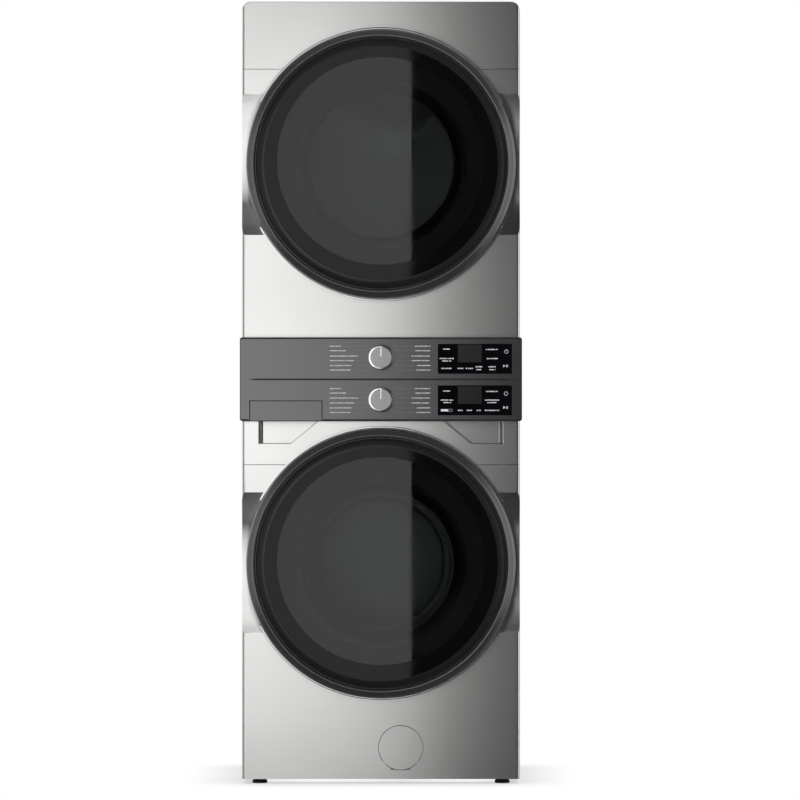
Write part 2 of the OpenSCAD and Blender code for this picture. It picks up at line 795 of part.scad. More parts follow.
module dryer_front_bulkhead() {
    port = port_r - 6;
    y0 = panel_f - 10;
    color("lightgray") {
        difference() {
            union() {
                slab(-half_w + 6, half_w - 6, -drum_front - 12, -drum_front - 10,
                    bulkhead_z0, bulkhead_z1);
                tube_y(0, dryer_z, port + 2, port, drum_front + 10, y0);
                // Front bearing ring that the drum edge turns on
                tube_y(0, dryer_z, drum_r - 8, drum_r - 11, drum_front - 12, drum_front + 10);
            }
            bar_y(0, dryer_z, port, drum_front - 20, y0 + 1);
            slab(-126, 126, -y0 - 1, -drum_front - 8, dryer_z - port - 192, dryer_z - port + 60);
        }
        // Chute that holds the lint screen
        difference() {
            slab(-124, 124, -y0 + 4, -drum_front - 12, dryer_z - port - 188, dryer_z - port + 26);
            slab(-121, 121, -y0 + 7, -drum_front - 15, dryer_z - port - 184, dryer_z - port + 40);
            bar_y(0, dryer_z, port, drum_front - 20, y0 + 10);
        }
    }
}

module lint_screen() {
    top = dryer_z - port_r + 18;
    bottom = top - 192;
    y0 = -panel_f + 20;
    rim = 8;
    color("silver") {
        difference() {
            slab(-116, 116, y0, y0 + 9, bottom, top);
            slab(-116 + rim, 116 - rim, y0 - 1, y0 + 10, bottom + rim, top - 18);
        }
        // Mesh
        slab(-109, 109, y0 + 3.5, y0 + 5.5, bottom + 7, top - 17);
        // Handle
        slab(-40, 40, y0 + 1, y0 + 8, top - 1, top + 10);
    }
}

module dryer_drum() {
    color("silver") {
        revolve_y(dryer_z, [
            [drum_r - 1.5, drum_front], [drum_r, drum_front], [drum_r, -drum_rear],
            [0, -drum_rear], [0, -drum_rear + 1.5], [drum_r - 1.5, -drum_rear + 1.5]]);
        drum_lifters(dryer_z, 3, drum_r - 1, 46, -drum_rear + 12, drum_front - 60);
        // Centre hub
        bar_y(0, dryer_z, 40, -drum_rear, -drum_rear + 12);
    }
}

module dryer_rear_bulkhead() {
    color("lightgray") {
        difference() {
            slab(-half_w + 6, half_w - 6, drum_rear + 24, drum_rear + 26,
                bulkhead_z0, bulkhead_z1);
            // Warm air grille into the back of the drum
            for (x = [-60:20:60], z = [-60:20:60])
                bar_y(x, dryer_z - 120 + z, 5, -drum_rear - 30, -drum_rear - 20);
            // Corner notch that clears the exhaust duct
            slab(duct_x - exhaust_r - 6, half_w, drum_rear + 20, drum_rear + 30,
                bulkhead_z0 - 1, duct_z + exhaust_r + 8);
        }
        for (s = [-1, 1]) bar_y(s * roller_reach * sin(roller_a),
            dryer_z - roller_reach * cos(roller_a), 8, -drum_rear - 25, -drum_rear + 30);
    }
}

module drum_roller(side) {
    x = side * roller_reach * sin(roller_a);
    z = dryer_z - roller_reach * cos(roller_a);
    color([0.15, 0.15, 0.15]) tube_y(x, z, roller_r, 8.06, -drum_rear + 4, -drum_rear + 28);
}

module drum_roller_left() drum_roller(-1);
module drum_roller_right() drum_roller(1);

module dryer_motor() {
    color("dimgray") difference() {
        union() {
            bar_y(blower_x, blower_z, 58, 0, 150);
            slab(blower_x - 50, blower_x + 50, -140, -10, 992, blower_z - 40);
        }
        bar_y(blower_x, blower_z, 9.05, -10, 160);
        // Room for the winding inside the casing
        bar_y(blower_x, blower_z, 40, 14, 136);
    }
}

module blower_housing() {
    r = 92;
    color("gainsboro") {
        difference() {
            union() {
                bar_y(blower_x, blower_z, r, 196, 276);
                slab(blower_x, duct_x + 58, -276, -196, 999, 1121);
            }
            bar_y(blower_x, blower_z, r - 3, 199, 273);
            slab(blower_x, duct_x + 55, -273, -199, 1002, 1118);
            bar_y(blower_x, blower_z, 12, 190, 202);
            bar_y(duct_x, duct_z, exhaust_r, 190, 202);
            // Intake from the lint chute
            slab(-30, 120, -280, -270, blower_z - 40, blower_z + 40);
        }
    }
}

module blower_wheel() {
    color("silver") {
        tube_y(blower_x, blower_z, 76, 73, 204, 266);
        bar_y(blower_x, blower_z, 76, 204, 207);
        for (i = [0:11]) facing_front(blower_x, blower_z) rotate([0, 0, i * 30])
            translate([50, -1, 206]) cube([24, 2, 60]);
        // Rotor shaft and belt pulley
        bar_y(blower_x, blower_z, 9, -80, 205);
        bar_y(blower_x, blower_z, rotor_pulley_r, -dryer_belt_y - 9, -dryer_belt_y + 9);
    }
}

module exhaust_duct() {
    color("silver") {
        tube_y(duct_x, duct_z, exhaust_r, exhaust_r - 1, -depth / 2, 196);
        tube_y(duct_x, duct_z, exhaust_r + 10, exhaust_r - 0.5, -back_y + sheet, -back_y + sheet + 2);
    }
}

module heater_box() {
    color("silver") difference() {
        slab(-315, -110, 60, drum_rear + 24, 1000, 1180);
        slab(-313, -112, 62, drum_rear + 22, 1002, 1178);
        slab(-300, -125, 55, 70, 1012, 1168);
    }
    // Element coils
    color("darkred") for (z = [1040:30:1145]) slab(-300, -125, 100, 108, z, z + 8);
    color("darkred") slab(-312.5, -299, 96, 112, 1030, 1150);
}

module power_inlet() {
    color([0.15, 0.15, 0.15]) difference() {
        slab(-255, -155, back_y, back_y + 8, 1030, 1110);
        bar_y(-205, 1070, 14, -back_y - 10, -back_y + 1);
    }
}

module cabinet_screws() {
    color("gray") {
        for (x = [-258, 258], z = [150, 460, 780]) bar_y(x, z, 4, -back_y - 4.5, -back_y + 4);
        for (x = [-278, 278], z = [1230, 1515, 1800]) bar_y(x, z, 4, -back_y - 4.5, -back_y + 4);
    }
}

// ---------------------------------------------------------------- feet

module levelling_foot(x, y) {
    color([0.1, 0.1, 0.1]) translate([x, y, 0]) {
        rotate_extrude() polygon([[0, 0], [foot_r, 0], [foot_r, 6], [foot_r - 3, 9.5], [0, 9.5]]);
        translate([0, 0, 9]) cylinder(r = 6, h = 45);
    }
    color("gray") translate([x, y, 9]) cylinder(r = 10, h = 3, $fn = 6);
}

module foot_front_left() levelling_foot(-foot_x, foot_front_y);
module foot_front_right() levelling_foot(foot_x, foot_front_y);
module foot_rear_left() levelling_foot(-foot_x, foot_rear_y);
module foot_rear_right() levelling_foot(foot_x, foot_rear_y);

base_frame();
washer_cabinet();
dryer_cabinet();
washer_rear_panel();
dryer_rear_panel();
top_panel();
washer_front_panel();
washer_fascia();
dryer_front_panel();
dryer_front_header();
console_panel();
display_windows();
control_boards();
centre_deck();
cabinet_screws();
outer_tub();
door_gasket();
counterweight();
tub_suspension();
washer_motor();
tub_bearings();
drain_pump();
dispenser_housing();
inlet_valves();
door_hinge_brackets();
door_latches();
dryer_front_bulkhead();
dryer_rear_bulkhead();
dryer_motor();
blower_housing();
heater_box();
exhaust_duct();
power_inlet();
drive_belts();
washer_door_ring();
washer_door_glass();
washer_door_frame();
washer_door_bowl();
dryer_door_ring();
dryer_door_glass();
dryer_door_frame();
dryer_door_window();
washer_drum();
washer_drum_spider();
washer_drum_pulley();
washer_motor_pulley();
dryer_drum();
blower_wheel();
drum_roller_left();
drum_roller_right();
washer_knob();
dryer_knob();
detergent_drawer();
pump_cover();
pump_filter();
lint_screen();
foot_front_left();
foot_front_right();
foot_rear_left();
foot_rear_right();
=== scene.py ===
"""Looks of the washer dryer stack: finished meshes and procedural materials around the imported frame."""

import json
import math

import bmesh
import bpy
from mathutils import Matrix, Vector

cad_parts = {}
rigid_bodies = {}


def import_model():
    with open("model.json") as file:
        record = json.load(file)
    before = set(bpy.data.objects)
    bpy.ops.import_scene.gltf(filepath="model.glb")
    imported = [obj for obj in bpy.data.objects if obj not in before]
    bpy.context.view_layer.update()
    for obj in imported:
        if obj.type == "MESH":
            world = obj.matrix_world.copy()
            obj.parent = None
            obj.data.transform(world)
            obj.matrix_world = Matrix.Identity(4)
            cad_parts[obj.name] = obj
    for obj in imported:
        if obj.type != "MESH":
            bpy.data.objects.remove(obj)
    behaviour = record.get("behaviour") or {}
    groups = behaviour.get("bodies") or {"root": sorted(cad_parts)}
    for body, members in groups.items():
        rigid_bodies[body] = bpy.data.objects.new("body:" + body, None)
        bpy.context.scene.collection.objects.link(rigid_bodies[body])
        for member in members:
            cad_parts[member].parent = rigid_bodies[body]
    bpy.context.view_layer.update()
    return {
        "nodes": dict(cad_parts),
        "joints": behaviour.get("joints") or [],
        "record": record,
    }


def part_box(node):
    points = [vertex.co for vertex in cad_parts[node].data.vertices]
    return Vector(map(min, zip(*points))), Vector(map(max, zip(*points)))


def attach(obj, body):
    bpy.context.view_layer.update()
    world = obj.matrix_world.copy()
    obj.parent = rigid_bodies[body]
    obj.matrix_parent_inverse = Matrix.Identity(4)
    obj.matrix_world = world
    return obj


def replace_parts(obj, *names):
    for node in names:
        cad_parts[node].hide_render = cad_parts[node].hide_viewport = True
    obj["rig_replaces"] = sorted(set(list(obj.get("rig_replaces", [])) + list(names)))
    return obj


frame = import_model()

MM = 0.001
NODES = frame["nodes"]
BODY_OF = {n: b for b, ns in frame["record"]["behaviour"]["bodies"].items() for n in ns}
SLOT_OF = {s["node"]: s["material_slot"] for s in frame["record"]["subparts"]}
DOORS = {"washer": "washer_door", "dryer": "dryer_door"}
# How near a point counts as on an edge, and the hinge arms' height from a door's middle
NEAR = 0.6 * MM
HINGE_RISE = 80 * MM


def centre(node):
    """Middle of a CAD node's box."""
    low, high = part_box(node)
    return (low + high) / 2


def extent(node):
    """Size of a CAD node's box."""
    low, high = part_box(node)
    return high - low


# ---- shader helpers


def add_node(tree, kind, **values):
    """A new node; each value is linked to, or set on, the input or setting of that name."""
    made = tree.nodes.new(kind)
    for key, value in values.items():
        if key not in made.inputs:
            setattr(made, key, value)
        elif isinstance(value, bpy.types.NodeSocket):
            tree.links.new(value, made.inputs[key])
        else:
            made.inputs[key].default_value = value
    return made


def add_range(tree, value, low, high, start, end):
    """Maps a value between start and end onto a low to high range."""
    return add_node(tree, "ShaderNodeMapRange", Value=value, **{
        "From Min": start, "From Max": end, "To Min": low, "To Max": high}).outputs["Result"]


def scaled(colour, factor):
    """A colour made darker or lighter."""
    return tuple(min(1, c * factor) for c in colour)


class Shader:
    """A material with a Principled shader and short calls for the nodes that feed it."""

    def __init__(self, name, **values):
        self.material = bpy.data.materials.new(name)
        self.material.use_nodes = True
        self.tree = self.material.node_tree
        self.bsdf = self.tree.nodes["Principled BSDF"]
        self.set(**values)

    def set(self, **values):
        """Sets inputs of the Principled shader."""
        for key, value in values.items():
            socket = self.bsdf.inputs[key.replace("_", " ").title().replace("Ior", "IOR")]
            is_colour = isinstance(value, tuple) and len(value) == 3
            socket.default_value = (*value, 1.0) if is_colour else value

    def node(self, kind, **values):
        """A new node of this material."""
        return add_node(self.tree, kind, **values)

    def math(self, operation, *values, kind="ShaderNodeMath"):
        """The result of one math node; each value is a socket or a constant."""
        made = self.node(kind, operation=operation)
        for socket, value in zip(made.inputs, values):
            if isinstance(value, bpy.types.NodeSocket):
                self.tree.links.new(value, socket)
            else:
                socket.default_value = value
        return made.outputs["Value" if kind == "ShaderNodeMath" or operation == "LENGTH" else "Vector"]

    def spot(self):
        """Object coordinates."""
        return self.node("ShaderNodeTexCoord").outputs["Object"]

    def place(self, scale=(1, 1, 1)):
        """Object coordinates, stretched."""
        return self.node("ShaderNodeMapping", Vector=self.spot(), Scale=scale).outputs["Vector"]

    def noise(self, scale, stretch=(1, 1, 1), detail=3.0, rough=0.55):
        """Noise in object space, 0 to 1."""
        made = self.node("ShaderNodeTexNoise", Vector=self.place(stretch), Scale=scale, Detail=detail,
                         Roughness=rough)
        return made.outputs["Fac"]

    def spread(self, value, low, high, start=0.3, end=0.7):
        """Maps a 0 to 1 value onto a low to high range."""
        return add_range(self.tree, value, low, high, start, end)

    def tint(self, value, dark, light, start=0.3, end=0.7):
        """A colour between two, by a value."""
        made = self.node("ShaderNodeValToRGB", Fac=value)
        made.color_ramp.elements[0].position = start
        made.color_ramp.elements[1].position = end
        made.color_ramp.elements[0].color = (*dark, 1)
        made.color_ramp.elements[1].color = (*light, 1)
        return made.outputs["Color"]

    def link(self, value, socket):
        """Feeds a socket of the Principled shader."""
        self.tree.links.new(value, self.bsdf.inputs[socket])

    def bump(self, value, strength, depth):
        """Relief from a height value; depth in metres."""
        made = self.node("ShaderNodeBump", Height=value, Strength=strength, Distance=depth)
        self.link(made.outputs["Normal"], "Normal")


# ---- materials

# Noise stretched along X, and the turn that spreads highlights sideways
BRUSHING = (0.8, 170, 170)
QUARTER_TURN = 0.25
BASKET_RADIUS = 0.26


def brushed(name, colour, rough, anisotropy):
    """Satin metal with fine straight brushing from side to side."""
    shader = Shader(name, base_color=colour, metallic=1.0, roughness=rough)
    fine = shader.noise(22.0, BRUSHING, 4.0, 0.65)
    streak = shader.noise(7.0, tuple(s * 0.5 for s in BRUSHING), 3.0)
    cloud = shader.noise(2.2, (1, 1, 1), 2.0)
    mixed = shader.math("ADD", fine, streak)
    shader.link(shader.spread(mixed, rough - 0.004, rough + 0.005, 0.7, 1.3), "Roughness")
    shader.link(shader.tint(cloud, scaled(colour, 0.93), scaled(colour, 1.04)), "Base Color")
    shader.bump(fine, 0.03, 0.000002)
    shader.set(anisotropic=anisotropy, anisotropic_rotation=QUARTER_TURN)
    tangent = shader.node("ShaderNodeTangent", direction_type="RADIAL", axis="Z")
    shader.link(tangent.outputs["Tangent"], "Tangent")
    return shader.material


def painted(name, colour, rough=0.42, flake=0.0, peel=0.06):
    """Sprayed paint with a faint orange peel and, if asked, metallic flake."""
    shader = Shader(name, base_color=colour, roughness=rough, metallic=flake)
    peel_noise = shader.noise(420.0, detail=2.0)
    cloud = shader.noise(3.0, detail=3.0)
    shader.link(shader.tint(cloud, scaled(colour, 0.94), scaled(colour, 1.05)), "Base Color")
    shader.link(shader.spread(cloud, rough - 0.04, rough + 0.05), "Roughness")
    shader.bump(peel_noise, peel, 0.0002)
    return shader.material


def moulded(name, colour, rough=0.5, grain=0.15, grain_size=900.0):
    """Injection moulded plastic with a fine grain."""
    shader = Shader(name, base_color=colour, roughness=rough)
    grain_noise = shader.noise(grain_size, detail=2.0)
    cloud = shader.noise(6.0, detail=4.0)
    shader.link(shader.tint(cloud, scaled(colour, 0.92), scaled(colour, 1.06)), "Base Color")
    shader.link(shader.spread(cloud, rough - 0.05, rough + 0.07), "Roughness")
    shader.bump(grain_noise, grain, 0.00015)
    return shader.material


def rubber(name, colour, rough=0.62):
    """Soft rubber, a little dusty."""
    shader = Shader(name, base_color=colour, roughness=rough)
    dust = shader.noise(35.0, detail=5.0, rough=0.7)
    fine = shader.noise(1400.0, detail=2.0)
    light = tuple(min(1, c * 1.5 + 0.01) for c in colour)
    shader.link(shader.tint(dust, colour, light, 0.45, 0.85), "Base Color")
    shader.link(shader.spread(dust, rough - 0.08, rough + 0.1), "Roughness")
    shader.bump(fine, 0.2, 0.0001)
    return shader.material


def galvanised(name):
    """Zinc coated sheet with soft spangle."""
    shader = Shader(name, base_color=(0.56, 0.58, 0.6), metallic=0.9, roughness=0.42)
    cells = shader.node("ShaderNodeTexVoronoi", Vector=shader.place(), Scale=120.0)
    cloud = shader.noise(5.0, detail=4.0)
    shader.link(shader.tint(cells.outputs["Color"], (0.53, 0.545, 0.56), (0.6, 0.615, 0.63), 0.1, 0.9),
                "Base Color")
    shader.link(shader.spread(cloud, 0.34, 0.52), "Roughness")
    return shader.material


def black_glass(name):
    """Polished printed glass, nearly black."""
    shader = Shader(name, base_color=(0.004, 0.004, 0.005), roughness=0.04, ior=1.31)
    smear = shader.noise(9.0, (1, 1, 1), 5.0)
    shader.link(shader.spread(smear, 0.015, 0.07), "Roughness")
    return shader.material


def matt_black_print(name):
    """The dull ground edge of a door glass."""
    shader = Shader(name, base_color=(0.016, 0.016, 0.017), roughness=0.35)
    cloud = shader.noise(120.0, detail=3.0)
    shader.link(shader.spread(cloud, 0.3, 0.42), "Roughness")
    return shader.material


def dark_window(name):
    """Smoked glass that lets the drum show faintly."""
    shader = Shader(name, base_color=(0.2, 0.2, 0.205), roughness=0.02, ior=1.42,
                    transmission_weight=1.0)
    smear = shader.noise(7.0, detail=4.0)
    shader.link(shader.spread(smear, 0.0, 0.04), "Roughness")
    return shader.material


def clear_glass(name):
    """Thick pressed glass."""
    shader = Shader(name, base_color=(0.86, 0.92, 0.91), roughness=0.02, ior=1.48,
                    transmission_weight=1.0)
    ripple = shader.noise(14.0, detail=2.0)
    shader.bump(ripple, 0.05, 0.001)
    return shader.material


def perforated_steel(name, middle, pitch, hole):
    """Stainless drum sheet with rows of small drain holes drawn as dark dented spots, a painted shade in
    place of openings; hole is a share of the pitch.
    """
    shader = Shader(name, base_color=(0.62, 0.62, 0.61), metallic=1.0, roughness=0.28)
    parts = shader.node("ShaderNodeSeparateXYZ", Vector=shader.spot())
    lift = shader.math("SUBTRACT", parts.outputs["Z"], middle.z)
    angle = shader.math("ARCTAN2", lift, parts.outputs["X"])
    squares = []
    for source, scale in ((angle, BASKET_RADIUS / pitch), (parts.outputs["Y"], 1 / pitch)):
        wrapped = shader.math("PINGPONG", shader.math("MULTIPLY", source, scale), 0.5)
        squares.append(shader.math("POWER", wrapped, 2.0))
    total = shader.math("ADD", *squares)
    hole_shade_mask = shader.spread(total, 0.0, 1.0, (hole * 0.9) ** 2, (hole * 1.15) ** 2)
    # Near-black spots where the holes are: painted shade
    shader.link(shader.tint(hole_shade_mask, (0.01, 0.01, 0.01), (0.62, 0.62, 0.61), 0.0, 1.0), "Base Color")
    shader.bump(hole_shade_mask, 0.7, 0.0015)
    return shader.material


def ink(name, colour, glow=0.0):
    """Printed or lit marks."""
    shader = Shader(name, base_color=colour, roughness=0.5)
    if glow:
        shader.set(emission_color=colour, emission_strength=glow)
    fade = shader.noise(60.0, detail=2.0)
    shader.link(shader.tint(fade, scaled(colour, 0.88), colour), "Base Color")
    return shader.material


def cast(name, colour, metallic, rough):
    """Cast surface with a pebbled skin."""
    shader = Shader(name, base_color=colour, metallic=metallic, roughness=rough)
    grit = shader.noise(260.0, detail=5.0, rough=0.7)
    cloud = shader.noise(12.0, detail=4.0)
    shader.link(shader.tint(cloud, scaled(colour, 0.8), scaled(colour, 1.15)), "Base Color")
    shader.bump(grit, 0.35, 0.0006)
    return shader.material


def spun(name, colour, rough, middle):
    """Face-turned metal: fine rings about a middle point, with fan-shaped highlights."""
    shader = Shader(name, base_color=colour, metallic=1.0, roughness=rough, anisotropic=0.5)
    vector = "ShaderNodeVectorMath"
    offset = shader.math("SUBTRACT", shader.spot(), middle, kind=vector)
    flat = shader.math("MULTIPLY", offset, (1, 0, 1), kind=vector)
    reach = shader.math("LENGTH", flat, kind=vector)
    rings = shader.node("ShaderNodeTexNoise", noise_dimensions="1D", W=reach, Scale=2600.0)
    shader.link(shader.spread(rings.outputs["Fac"], rough - 0.06, rough + 0.06), "Roughness")
    shader.bump(rings.outputs["Fac"], 0.15, 0.00003)
    tangent = shader.node("ShaderNodeTangent", direction_type="RADIAL", axis="Y")
    shader.link(tangent.outputs["Tangent"], "Tangent")
    cloud = shader.noise(30.0, detail=2.0)
    shader.link(shader.tint(cloud, scaled(colour, 0.94), colour), "Base Color")
    return shader.material


def mesh_cloth(name):
    """Fine woven lint mesh."""
    shader = Shader(name, base_color=(0.5, 0.52, 0.55), roughness=0.55)
    waves = []
    for axis in ("X", "Z"):
        wave = shader.node("ShaderNodeTexWave", Vector=shader.place(), Scale=160.0,
                           bands_direction=axis)
        waves.append(wave.outputs["Fac"])
    weave = shader.math("MAXIMUM", *waves)
    shader.link(shader.tint(weave, (0.18, 0.19, 0.2), (0.62, 0.64, 0.68)), "Base Color")
    shader.bump(weave, 0.5, 0.0006)
    return shader.material


WASHER_MIDDLE = centre("washer_door_ring")

MATERIALS = {
    "brushed_front": brushed("brushed_front", (0.775, 0.775, 0.76), 0.262, anisotropy=0.6),
    "side_paint": painted("side_paint", (0.30, 0.30, 0.305), 0.4, 0.55),
    "galvanised": galvanised("galvanised"),
    "console_graphite": brushed("console_graphite", (0.18, 0.18, 0.185), 0.31, anisotropy=0.6),
    "ring_graphite": painted("ring_graphite", (0.215, 0.215, 0.22), 0.3, 0.85, 0.03),
    "black_glass": black_glass("black_glass"),
    "clear_glass": clear_glass("clear_glass"),
    "knob_metal": brushed("knob_metal", (0.72, 0.72, 0.72), 0.32, anisotropy=0.2),
    "drawer_moulding": moulded("drawer_moulding", (0.23, 0.23, 0.235), 0.45),
    "grey_moulding": moulded("grey_moulding", (0.32, 0.32, 0.33), 0.45),
    "white_moulding": moulded("white_moulding", (0.78, 0.78, 0.76), 0.45),
    "black_moulding": moulded("black_moulding", (0.02, 0.02, 0.021), 0.5),
    "grey_rubber": rubber("grey_rubber", (0.12, 0.12, 0.125)),
    "belt_rubber": rubber("belt_rubber", (0.03, 0.03, 0.03)),
    "foot_rubber": rubber("foot_rubber", (0.015, 0.015, 0.015), 0.5),
    "ballast": cast("ballast", (0.32, 0.31, 0.3), 0.0, 0.85),
    "dark_motor": painted("dark_motor", (0.05, 0.05, 0.055), 0.45),
    "zinc_fastener": brushed("zinc_fastener", (0.62, 0.62, 0.6), 0.3, anisotropy=0.0),
    "circuit_board": moulded("circuit_board", (0.02, 0.16, 0.06), 0.35),
    "stainless": brushed("stainless", (0.62, 0.62, 0.61), 0.26, anisotropy=0.2),
    "cast_aluminium": cast("cast_aluminium", (0.58, 0.58, 0.6), 1.0, 0.45),
    "lint_mesh": mesh_cloth("lint_mesh"),
}
MATT_PRINT = matt_black_print("glass_edge_print")
WINDOW = dark_window("smoked_window")
WASHER_SHEET = perforated_steel("perforated_basket", WASHER_MIDDLE, 0.021, 0.12)
WHITE_INK = ink("white_ink", (0.95, 0.95, 0.95))
PALE_INK = ink("pale_ink", (0.33, 0.33, 0.34))
LCD_INK = ink("lit_mark", (0.75, 0.8, 0.85), 0.25)
LCD_FIELD = painted("display_field", (0.012, 0.012, 0.013), 0.22)
COLD_COLLAR = moulded("cold_collar", (0.03, 0.12, 0.5), 0.4)
POLISHED = brushed("polished_rim", (0.97, 0.97, 0.97), 0.16, anisotropy=0.0)
# Lighter copy of the front steel for the rolled lip: painted highlight
LIP_HIGHLIGHT_METAL = brushed("rolled_lip_lightened_steel", (0.85, 0.85, 0.84), 0.2, anisotropy=0.0)
POINTER_METAL = brushed("pointer_metal", (0.97, 0.97, 0.97), 0.24, anisotropy=0.0)
HOT_COLLAR = moulded("hot_collar", (0.5, 0.03, 0.03), 0.4)
FINISH = {}
DRYER_SHEET = brushed("dryer_drum_sheet", (0.6, 0.6, 0.59), 0.3, anisotropy=0.0)


# ---- mesh helpers


def add_object(name, data):
    """A linked object that shows a mesh, lamp or camera."""
    made = bpy.data.objects.new(name, data)
    bpy.context.scene.collection.objects.link(made)
    return made


def as_object(name, bm, *materials):
    """A linked mesh object from a bmesh, with its materials."""
    mesh = bpy.data.meshes.new(name)
    bm.to_mesh(mesh)
    bm.free()
    made = add_object(name, mesh)
    for material in materials:
        mesh.materials.append(material)
    return made


def smooth(thing, degrees=32):
    """Smooth shading, with edges sharper than an angle kept sharp."""
    mesh = thing.data
    mesh.polygons.foreach_set("use_smooth", [True] * len(mesh.polygons))
    mesh.set_sharp_from_angle(angle=math.radians(degrees))
    return thing


def apply_modifiers(thing):
    """Bakes an object's modifiers into its mesh."""
    graph = bpy.context.evaluated_depsgraph_get()
    mesh = bpy.data.meshes.new_from_object(thing.evaluated_get(graph))
    old = thing.data
    thing.modifiers.clear()
    thing.data = mesh
    bpy.data.meshes.remove(old)
    return thing


def finish_piece(thing, body, slot, *nodes):
    """Rides the piece on its body and hides the CAD nodes it stands for; the slot is not used."""
    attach(thing, body)
    if nodes:
        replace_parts(thing, *nodes)
    return thing


def turned(name, profile, origin, steps=160, closed=True, material_of=None, materials=(), upright=False):
    """A profile of (radius, distance) turned about an axis that points to the front, or up."""
    bm = bmesh.new()
    rings = []
    along = Vector((0, 0, 1)) if upright else Vector((0, -1, 0))
    across = Vector((0, 1, 0)) if upright else Vector((0, 0, 1))
    for radius, ahead in profile:
        spot = origin + along * ahead
        if radius < 1e-7:
            rings.append([bm.verts.new(spot)])
            continue
        rings.append([
            bm.verts.new(spot + Vector((radius * math.cos(a), 0, 0)) + across * (radius * math.sin(a)))
            for a in (2 * math.pi * i / steps for i in range(steps))])
    pairs = list(zip(rings, rings[1:] + rings[:1])) if closed else list(zip(rings, rings[1:]))
    for k, (low, high) in enumerate(pairs):
        if len(low) == 1 and len(high) == 1:
            continue
        for i in range(steps):
            j = (i + 1) % steps
            corners = [low[i % len(low)], low[j % len(low)], high[j % len(high)], high[i % len(high)]]
            face = bm.faces.new(list(dict.fromkeys(corners)))
            if material_of:
                face.material_index = material_of(k)
    bmesh.ops.recalc_face_normals(bm, faces=bm.faces)
    return as_object(name, bm, *materials)


def metres(points):
    """Pairs of millimetres in metres."""
    return [(a * MM, b * MM) for a, b in points]


def arc(cx, cy, radius, start, end, count):
    """Points along a circular arc, angles in degrees."""
    return [(cx + radius * math.cos(math.radians(start + (end - start) * i / count)),
             cy + radius * math.sin(math.radians(start + (end - start) * i / count)))
            for i in range(count + 1)]


def refined(node, name, width, angle=30, segments=2, folds=()):
    """The CAD node's own shape with softened edges, as a new piece that stands for it.

    Each of folds is (x, y, z0, z1, radius): upright edges there get a broader fold first."""
    mesh = NODES[node].data.copy()
    thing = add_object(name, mesh)
    bm = bmesh.new()
    bm.from_mesh(mesh)
    bmesh.ops.remove_doubles(bm, verts=bm.verts, dist=0.00002)
    bmesh.ops.dissolve_limit(bm, angle_limit=math.radians(0.6), verts=bm.verts, edges=bm.edges)
    for x, y, z0, z1, radius in folds:
        edges = [e for e in bm.edges
                 if all(abs(abs(v.co.x) - x) < NEAR and abs(v.co.y - y) < NEAR and z0 < v.co.z < z1
                        for v in e.verts)
                 and abs(e.verts[0].co.z - e.verts[1].co.z) > 5 * MM]
        bmesh.ops.bevel(bm, geom=edges, offset=radius, segments=6, profile=0.5, affect="EDGES",
                        clamp_overlap=True)
    bm.to_mesh(mesh)
    bm.free()
    mesh.materials.clear()
    mesh.materials.append(FINISH.get(node, MATERIALS[SLOT_OF[node]]))
    if width:
        bevel = thing.modifiers.new("soft_edges", "BEVEL")
        bevel.width = width
        bevel.segments = segments
        bevel.limit_method = "ANGLE"
        bevel.angle_limit = math.radians(angle)
        bevel.use_clamp_overlap = True
        smooth(thing)
        flat = thing.modifiers.new("flat_faces", "WEIGHTED_NORMAL")
        flat.mode = "FACE_AREA"
        flat.weight = 100
        flat.keep_sharp = True
        apply_modifiers(thing)
    else:
        smooth(thing)
    return finish_piece(thing, BODY_OF[node], SLOT_OF[node], node)


def block(bm, low, high, material=0):
    """A box between two corners in a bmesh."""
    made = bmesh.ops.create_cube(bm, size=1.0)
    for v in made["verts"]:
        v.co = Vector(((low[k] + high[k]) / 2 + v.co[k] * (high[k] - low[k]) for k in range(3)))
    for face in {f for v in made["verts"] for f in v.link_faces}:
        face.material_index = material


def cut(thing, low, high):
    """Cuts a box out of a piece."""
    bm = bmesh.new()
    block(bm, low, high)
    tool = as_object("cutter", bm)
    modifier = thing.modifiers.new("cut", "BOOLEAN")
    modifier.operation = "DIFFERENCE"
    modifier.solver = "EXACT"
    modifier.object = tool
    apply_modifiers(thing)
    bpy.data.objects.remove(tool)
    return thing


# ---- doors


def hinge_cuts(thing, middle, hinge):
    """Notches in a door piece where the fixed hinge arms pass."""
    for rise in (-HINGE_RISE, HINGE_RISE):
        cut(thing, Vector((hinge.x - 30 * MM, hinge.y - 8 * MM, middle.z + rise - 23 * MM)),
            Vector((hinge.x + 38 * MM, hinge.y + 25 * MM, middle.z + rise + 23 * MM)))
    return thing


def door_ring(kind):
    """Graphite ring with a broad rolled face and a polished inner chamfer."""
    node = f"{kind}_door_ring"
    low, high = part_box(node)
    back = Vector((0, high.y, (low.z + high.z) / 2))
    outer = extent(node).z / 2
    inner = outer - 22.4 * MM
    profile = [(inner - 14 * MM, 42 * MM), (inner - 14 * MM, 34 * MM), (inner + 3.4 * MM, 34 * MM),
               (inner + 3.4 * MM, 0.0)]
    profile += arc(outer - 3 * MM, 3 * MM, 3 * MM, -90, 0, 5)
    profile += arc(outer - 12 * MM, 37 * MM, 12 * MM, 0, 68, 12)
    profile += arc(inner + 6.4 * MM, 51.3 * MM, 2.6 * MM, 80, 150, 5)
    profile += [(inner + 0.9 * MM, 46.2 * MM), (inner + 0.2 * MM, 45.0 * MM),
                (inner + 0.2 * MM, 42 * MM)]
    ring = turned(f"{kind}_ring_trim", profile, back, 256, materials=[MATERIALS["ring_graphite"]])
    joint = next(j for j in frame["joints"] if j["name"] == f"{kind}_door_hinge")
    hinge_cuts(ring, centre(node), Vector(joint["pos_m"]))
    return finish_piece(smooth(ring, 26), DOORS[kind], "ring_graphite", node)


